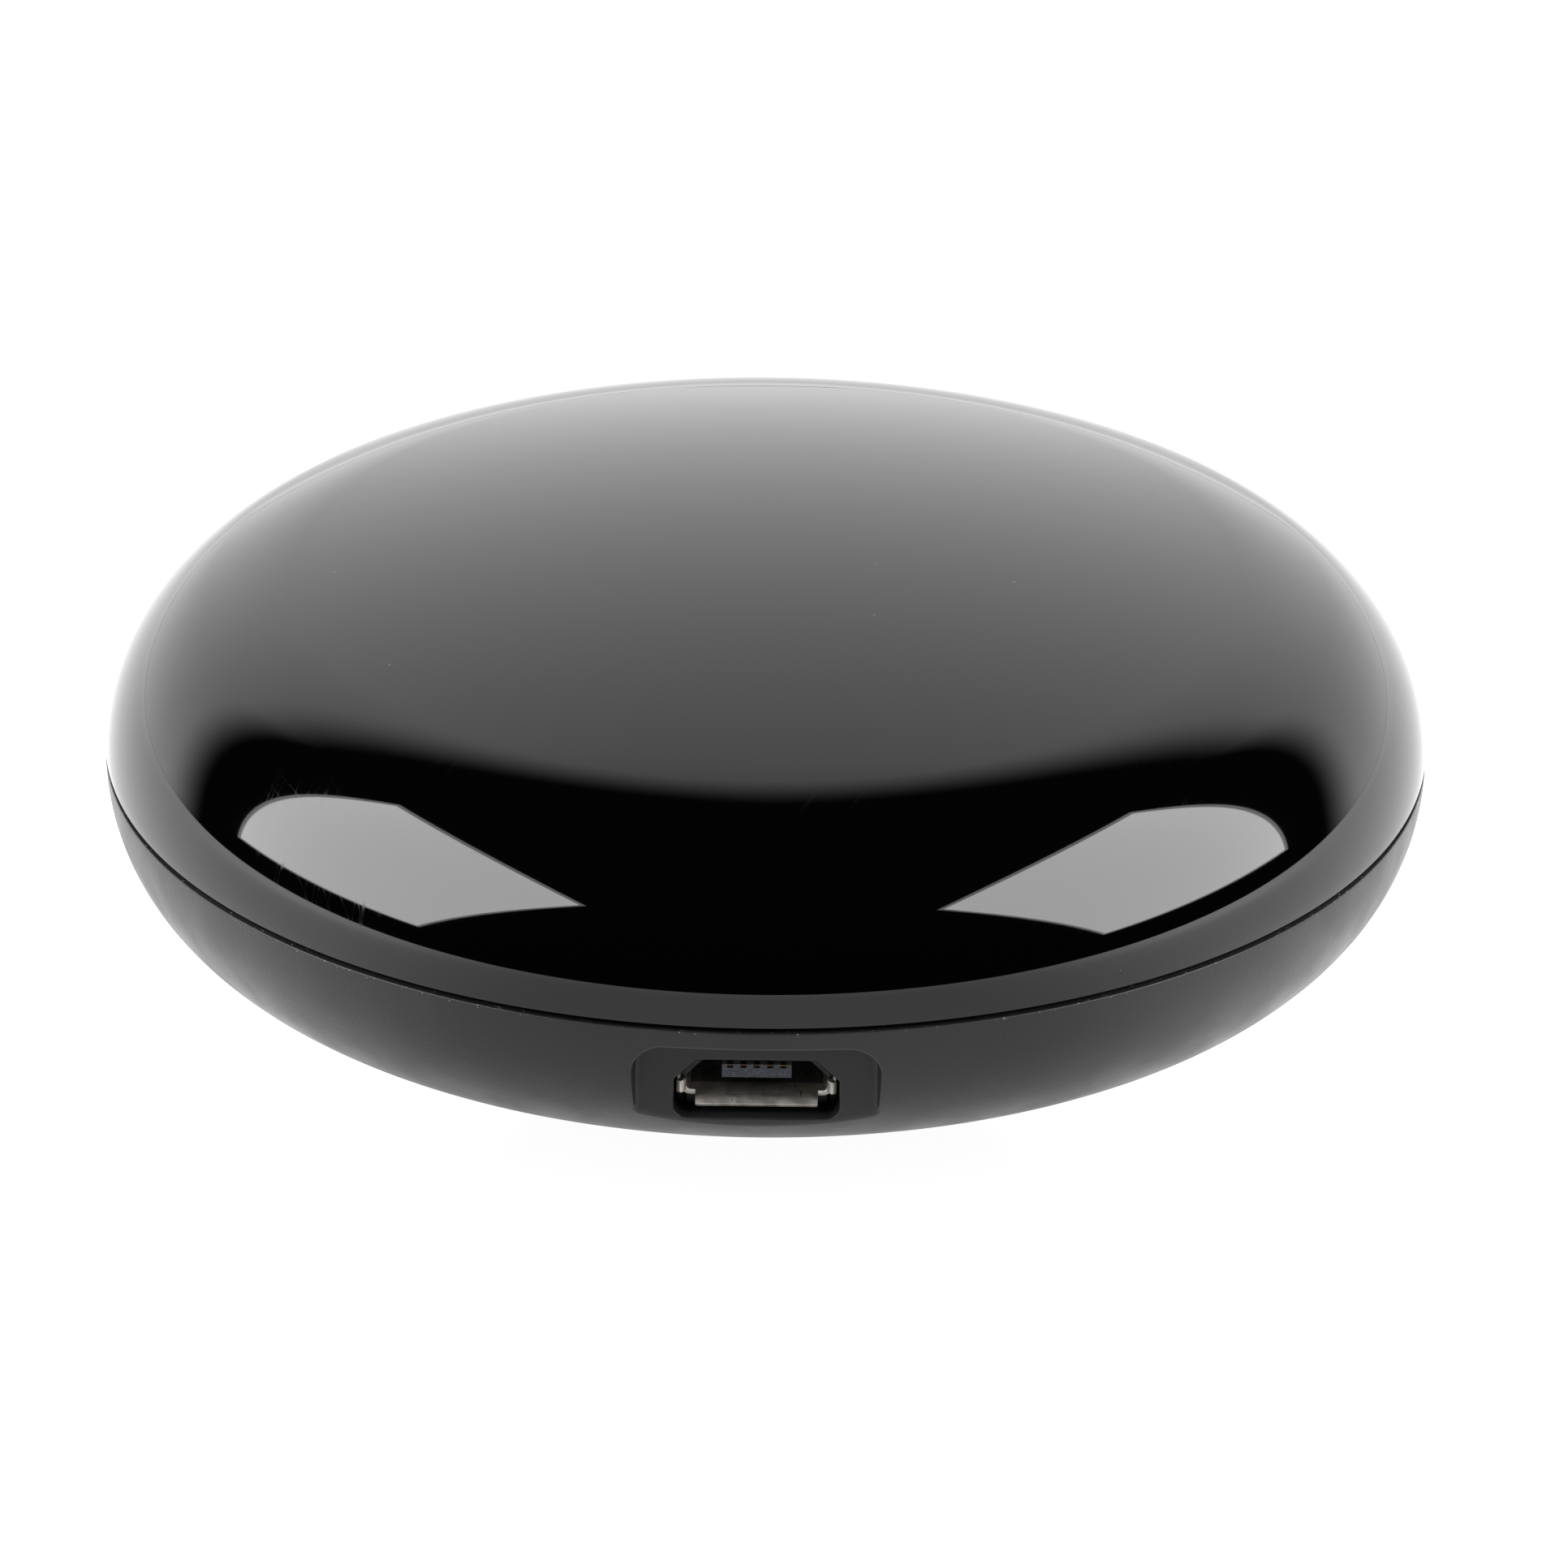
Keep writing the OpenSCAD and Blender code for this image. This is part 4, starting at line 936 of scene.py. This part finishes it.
def make_base():
    skin = Skin()
    wall, tongue, outer, foot, angles = base_section()
    profile = wall + tongue + outer + foot
    arc = [None] * (len(wall) + len(tongue)) + angles + [None] * len(foot)
    rings = round_rings(profile, skin, arc)
    # Windows in the outside and the inside, in front of the port
    start = len(wall) + len(tongue)
    rows = range(start, start + len(outer))
    out_top = next(i for i in rows if profile[i][1] < WINDOW_TOP)
    out_bottom = next(i for i in rows if profile[i][1] < WINDOW_BOTTOM)
    in_bottom = next(i for i in range(2, len(wall)) if profile[i][1] > INNER_WINDOW_BOTTOM)
    in_top = len(wall)
    out_columns = [k % TURNS for k in range(-WINDOW_COLUMNS, WINDOW_COLUMNS)]
    in_columns = [k % TURNS for k in range(-INNER_WINDOW_COLUMNS, INNER_WINDOW_COLUMNS)]
    for i in range(len(rings) - 1):
        skip = ()
        if out_top <= i < out_bottom:
            skip = out_columns
        elif in_bottom <= i < in_top:
            skip = in_columns
        skin.bridge(rings[i], rings[i + 1], skip)
    centre = np.array([0.0, -(PORT_DROP + SLOT_DROP)])
    out_loop = window_loop(rings, out_top, out_bottom, WINDOW_COLUMNS)
    in_loop = window_loop(rings, in_bottom, in_top, INNER_WINDOW_COLUMNS)
    slot_ring = outside_patch(skin, out_loop, centre)
    inside_patch(skin, in_loop, slot_ring, centre)
    underside(skin, rings[-1], rings[0])
    skin.verts = [(x, y, z + SEAM_Z) for x, y, z in skin.verts]
    return skin.build("base", "housing", ("base_shell",), "matte_black")


# ---------------------------------------------------------------- micro-USB shell, a folded sheet
LIP_L = 0.6
LIP_ANGLE = math.radians(38)
LIP_BEND_R = 0.6
NOTCH_L = 0.55                  # the sheet is cut back between its lips, at the lower corners
LIP_CORNER_R = 0.16
BOTTOM_LIP_HALF = USB_W / 2 - 0.4
SIDE_LIP_Z = -0.3
SIDE_LIP_HALF = 0.4
SHELL_FLOOR_L = 1.4
LEG_L = 1.3
LEG_T = 0.3
LEG_BELOW = 0.3
LEG_TOP = -0.2                  # from the receptacle's middle
LEG_TAPER_L = 0.35
LEG_TAPER = 0.3
LEG_Y = (1.4, 4.1)
LOWER_BEND_R = 0.22
UPPER_BEND_R = 0.3
SHELL_EDGE_R = 0.07
ON_EDGE = 1e-6


def shell_outline(step=0.08):
    """Inside of the receptacle's D-shaped section, bends included: points and outward normals in XZ."""
    w, h, b = USB_W / 2, USB_H / 2, USB_BEVEL
    corners = [(-w, -h), (w, -h), (w, h - b), (w - b, h), (b - w, h), (-w, h - b)]
    count = len(corners)
    radii = (LOWER_BEND_R,) * 2 + (UPPER_BEND_R,) * 4
    arcs = [corner(corners[i - 1], q, corners[(i + 1) % count], r, 6)
            for i, (q, r) in enumerate(zip(corners, radii))]
    points = []
    for i, arc in enumerate(arcs):
        points.extend(arc)
        a, b = np.array(arc[-1]), np.array(arcs[(i + 1) % count][0])
        n = max(2, int(round(np.linalg.norm(b - a) / step)))
        points.extend(tuple(a + (b - a) * k / n) for k in range(1, n))
    points = np.array(points)
    return points, loop_normals(points)


def lip_length(x, z):
    """How far the sheet flares out of the mouth at a point of its outline; 0 between the lips."""
    if abs(z + USB_H / 2) < ON_EDGE and abs(x) <= BOTTOM_LIP_HALF:
        room = BOTTOM_LIP_HALF - abs(x)
    elif abs(abs(x) - USB_W / 2) < ON_EDGE and abs(z - SIDE_LIP_Z) <= SIDE_LIP_HALF:
        room = SIDE_LIP_HALF - abs(z - SIDE_LIP_Z)
    else:
        return 0.0
    short = LIP_CORNER_R - min(room, LIP_CORNER_R)
    return LIP_L - LIP_CORNER_R + math.sqrt(LIP_CORNER_R ** 2 - short ** 2)


def add_legs(verts, faces):
    """Legs through the board, with tapered ends."""
    top = PORT_Z + LEG_TOP
    bottom = PORT_Z - USB_H / 2 - USB_T - BOARD_T - LEG_BELOW
    levels = ((top, LEG_L / 2), (bottom + LEG_TAPER_L, LEG_L / 2), (bottom, LEG_L / 2 - LEG_TAPER))
    for side in (-1, 1):
        for y in LEG_Y:
            first = len(verts)
            x0 = side * (USB_W / 2 + USB_T)
            for z, half in levels:
                for dx, dy in ((-1, -1), (1, -1), (1, 1), (-1, 1)):
                    verts.append((x0 + dx * LEG_T / 2, MOUTH_Y + y + dy * half, z))
            for base in (first, first + 4):
                for i in range(4):
                    j = (i + 1) % 4
                    faces.append((base + i, base + j, base + 4 + j, base + 4 + i))
            faces.append(tuple(first + i for i in range(4)))
            faces.append(tuple(first + 11 - i for i in range(4)))


def make_port_shell():
    points, normals = shell_outline()
    lips = [lip_length(*p) for p in points]
    n = len(points)
    flare = [1.0, 0.94, 0.8, 0.55, 0.3]     # shares of the straight part of a lip, outermost first
    bends = [1.0, 0.8, 0.6, 0.4, 0.2]
    depths = [0.0, 0.15, NOTCH_L, 1.0, SHELL_FLOOR_L, 2.2, 3.2, 4.2, USB_DEPTH]
    verts, grid = [], []

    def add(column, y, out, lean):
        """A pair of vertices, on the sheet's inner and outer faces."""
        p, q = points[column], normals[column]
        pair = []
        for t in (0.0, USB_T):
            o = out + t * math.cos(lean)
            verts.append((p[0] + q[0] * o, MOUTH_Y + y + t * math.sin(lean), PORT_Z + p[1] + q[1] * o))
            pair.append(len(verts) - 1)
        return pair

    bend_l = LIP_BEND_R * LIP_ANGLE
    end_y = -LIP_BEND_R * math.sin(LIP_ANGLE)
    end_out = LIP_BEND_R * (1 - math.cos(LIP_ANGLE))
    for share in flare:
        run = [max(lip - bend_l, 0.01) * share for lip in lips]
        grid.append([add(i, end_y - run[i] * math.cos(LIP_ANGLE),
                         end_out + run[i] * math.sin(LIP_ANGLE), LIP_ANGLE)
                     if lips[i] else None for i in range(n)])
    for share in bends:
        a = LIP_ANGLE * share
        grid.append([add(i, -LIP_BEND_R * math.sin(a), LIP_BEND_R * (1 - math.cos(a)), a)
                     if lips[i] else None for i in range(n)])
    grid.extend([add(i, y, 0.0, 0.0) for i in range(n)] for y in depths)
    first_row = len(flare) + len(bends)
    floor_row = first_row + depths.index(SHELL_FLOOR_L)
    notch_row = first_row + depths.index(NOTCH_L)

    def on_floor(k):
        return abs(points[k][1] + USB_H / 2) < ON_EDGE

    def at_notch(k):
        low = points[k][1] < SIDE_LIP_Z - SIDE_LIP_HALF
        return low and abs(points[k][0]) > BOTTOM_LIP_HALF - 0.08

    def present(i, row):
        """Whether the sheet has the cell between two columns and two rows of the grid."""
        i, j = i % n, (i + 1) % n
        if row < 0 or row >= len(grid) - 1:
            return False
        if row < first_row:
            return bool(lips[i]) and bool(lips[j])
        if row < notch_row and at_notch(i) and at_notch(j) and not (lips[i] and lips[j]):
            return False
        return row < floor_row or not (on_floor(i) and on_floor(j))

    faces = []
    for row in range(len(grid) - 1):
        for i in range(n):
            if not present(i, row):
                continue
            j = (i + 1) % n
            a, b, c, d = grid[row][i], grid[row][j], grid[row + 1][j], grid[row + 1][i]
            faces.append((a[0], b[0], c[0], d[0]))
            faces.append((a[1], d[1], c[1], b[1]))
            for near, p, q in ((present(i, row - 1), a, b), (present(i, row + 1), c, d),
                               (present(i - 1, row), d, a), (present(i + 1, row), b, c)):
                if not near:
                    faces.append((p[0], p[1], q[1], q[0]))
    used = sorted({i for f in faces for i in f})
    place = {old: new for new, old in enumerate(used)}
    verts = [verts[i] for i in used]
    faces = [tuple(place[i] for i in f) for f in faces]
    add_legs(verts, faces)
    obj = new_object("port_shell", verts, faces, "housing", ("usb_shell",))
    fix_normals(obj)
    bevel = obj.modifiers.new("edges", "BEVEL")
    bevel.limit_method = "ANGLE"
    bevel.angle_limit = math.radians(50)
    bevel.width = SHELL_EDGE_R * MM
    bevel.segments = 3
    dress(obj, "nickel_steel")
    obj.data.materials[0] = port_steel()
    return obj


# ---------------------------------------------------------------- studio
FLOOR_HALF = 12.0               # metres
BACKDROP_HALF_WIDTH = math.radians(63)
BACKDROP_HEIGHT = math.radians(54.2)
BACKDROP_POWER = 1.55           # between an ellipse's 2 and a straight slope's 1
BACKDROP_LOW, BACKDROP_HIGH = 1.9, 0.85
FRONT_FLOOR, SIDE_FLOOR = 0.97, 1.72
BEHIND_DIP = 0.55
WALL_RISE = 0.18
# Corners of a softbox, seen from the object, before they are scaled to its distance
SOFTBOX = [(-1.176, 0.166, 0.173), (-1.186, -0.770, 0.254),
           (-0.497, -0.582, 0.881), (-0.487, 0.354, 0.799)]
SOFTBOX_SCALE = 2
SOFTBOX_LAMPS = ((0.95, 8.4), (0.985, 2.4))     # share of the size, radiance


def bearing_and_axes(g, vector):
    """Angle from the front, the same on both sides, and then x, y and z of a vector."""
    axes = g.node("ShaderNodeSeparateXYZ")
    g.put(axes.inputs[0], vector)
    x, y, z = axes.outputs
    bearing = g.math("ABSOLUTE", g.math("ARCTAN2", x, g.math("MULTIPLY", y, -1.0)))
    return bearing, x, y, z


def make_world(scene):
    """A lit backdrop: brightest low at its sides, fading towards a soft arched edge."""
    world = bpy.data.worlds.new("studio")
    scene.world = world
    world.use_nodes = True
    g = Graph(world.node_tree)
    back = world.node_tree.nodes["Background"]
    direction = g.node("ShaderNodeTexCoord").outputs["Generated"]
    azimuth, _, _, z = bearing_and_axes(g, direction)
    elevation = g.math("ARCSINE", z)
    turn = g.math("SUBTRACT", math.pi, azimuth)
    across = g.math("POWER", g.math("DIVIDE", turn, BACKDROP_HALF_WIDTH), BACKDROP_POWER)
    height = g.math("MAXIMUM", g.math("DIVIDE", elevation, BACKDROP_HEIGHT), 0.0)
    reach = g.math("ADD", across, g.math("POWER", height, BACKDROP_POWER))
    wall = g.ramp(reach, 0.79, 1.17, 1.0, 0.0)
    level = g.ramp(elevation, math.radians(2), math.radians(55), BACKDROP_LOW, BACKDROP_HIGH, smooth=False)
    above_floor = g.math("GREATER_THAN", elevation, 0.0)
    light = g.math("MULTIPLY", g.math("MULTIPLY", wall, level), above_floor)
    path = g.node("ShaderNodeLightPath")
    g.put(back.inputs["Strength"], g.math("MAXIMUM", light, path.outputs["Is Camera Ray"]))
    back.inputs["Color"].default_value = rgb(1, 1, 1)


def make_floor(scene):
    """Glowing floor: brighter towards the side lights, dimmer in front of the object and behind it."""
    mesh = bpy.data.meshes.new("floor")
    size = FLOOR_HALF
    corners = [(-size, -size, 0), (size, -size, 0), (size, size, 0), (-size, size, 0)]
    mesh.from_pydata(corners, [], [(0, 1, 2, 3)])
    floor = bpy.data.objects.new("floor", mesh)
    scene.collection.objects.link(floor)
    mat, g, bsdf = material("floor", Roughness=0.9)
    bsdf.inputs["Base Color"].default_value = rgb(0.03, 0.03, 0.03)
    bsdf.inputs["Specular IOR Level"].default_value = 0.0
    bsdf.inputs["Emission Color"].default_value = rgb(1, 1, 1)
    bearing, x, y, _ = bearing_and_axes(g, g.coords())
    distance = g.math("SQRT", g.math("ADD", g.math("MULTIPLY", x, x), g.math("MULTIPLY", y, y)))
    sideways = g.ramp(bearing, math.radians(25), math.radians(75), FRONT_FLOOR, SIDE_FLOOR)
    from_light = g.math("ABSOLUTE", g.math("SUBTRACT", bearing, math.radians(80)))
    near_lights = g.ramp(from_light, 0.0, math.radians(38), 1.0, 0.0)
    far = g.math("MULTIPLY", g.ramp(distance, 0.07, 0.35), near_lights)
    behind = g.ramp(bearing, math.radians(150), math.radians(172), 0.0, BEHIND_DIP)
    at_wall = g.ramp(distance, 0.12, 0.7)
    behind = g.math("MULTIPLY", behind, g.math("SUBTRACT", 1.0, at_wall))
    far = g.math("ADD", far, g.math("MULTIPLY", at_wall, WALL_RISE))
    strength = g.math("SUBTRACT", g.math("ADD", sideways, far), behind)
    g.put(bsdf.inputs["Emission Strength"], strength)
    mesh.materials.append(mat)


def make_softboxes(scene):
    """A square softbox at each side, tilted down to the object: two lamps in one plane."""
    for side in (-1, 1):
        corners = [Vector((x * -side, y, z)) * SOFTBOX_SCALE for x, y, z in SOFTBOX]
        middle = sum(corners, Vector()) / 4
        along = corners[1] - corners[0]
        over = corners[3] - corners[0]
        normal = along.cross(over).normalized()
        if normal.dot(middle) < 0:
            normal = -normal
        u = along.normalized()
        v = normal.cross(u)
        for spread, radiance in SOFTBOX_LAMPS:
            data = bpy.data.lights.new("softbox", "AREA")
            data.shape = "RECTANGLE"
            data.size = along.length * spread
            data.size_y = over.length * spread
            data.energy = radiance * math.pi * data.size * data.size_y
            lamp = bpy.data.objects.new("softbox", data)
            lamp.matrix_world = Matrix.Translation(middle) @ Matrix((u, v, normal)).transposed().to_4x4()
            lamp.visible_camera = False
            scene.collection.objects.link(lamp)


def make_studio():
    scene = bpy.context.scene
    make_world(scene)
    make_floor(scene)
    make_softboxes(scene)
    scene.view_settings.view_transform = "Standard"


make_camera()
make_studio()
make_cover()
make_base()
make_port_shell()
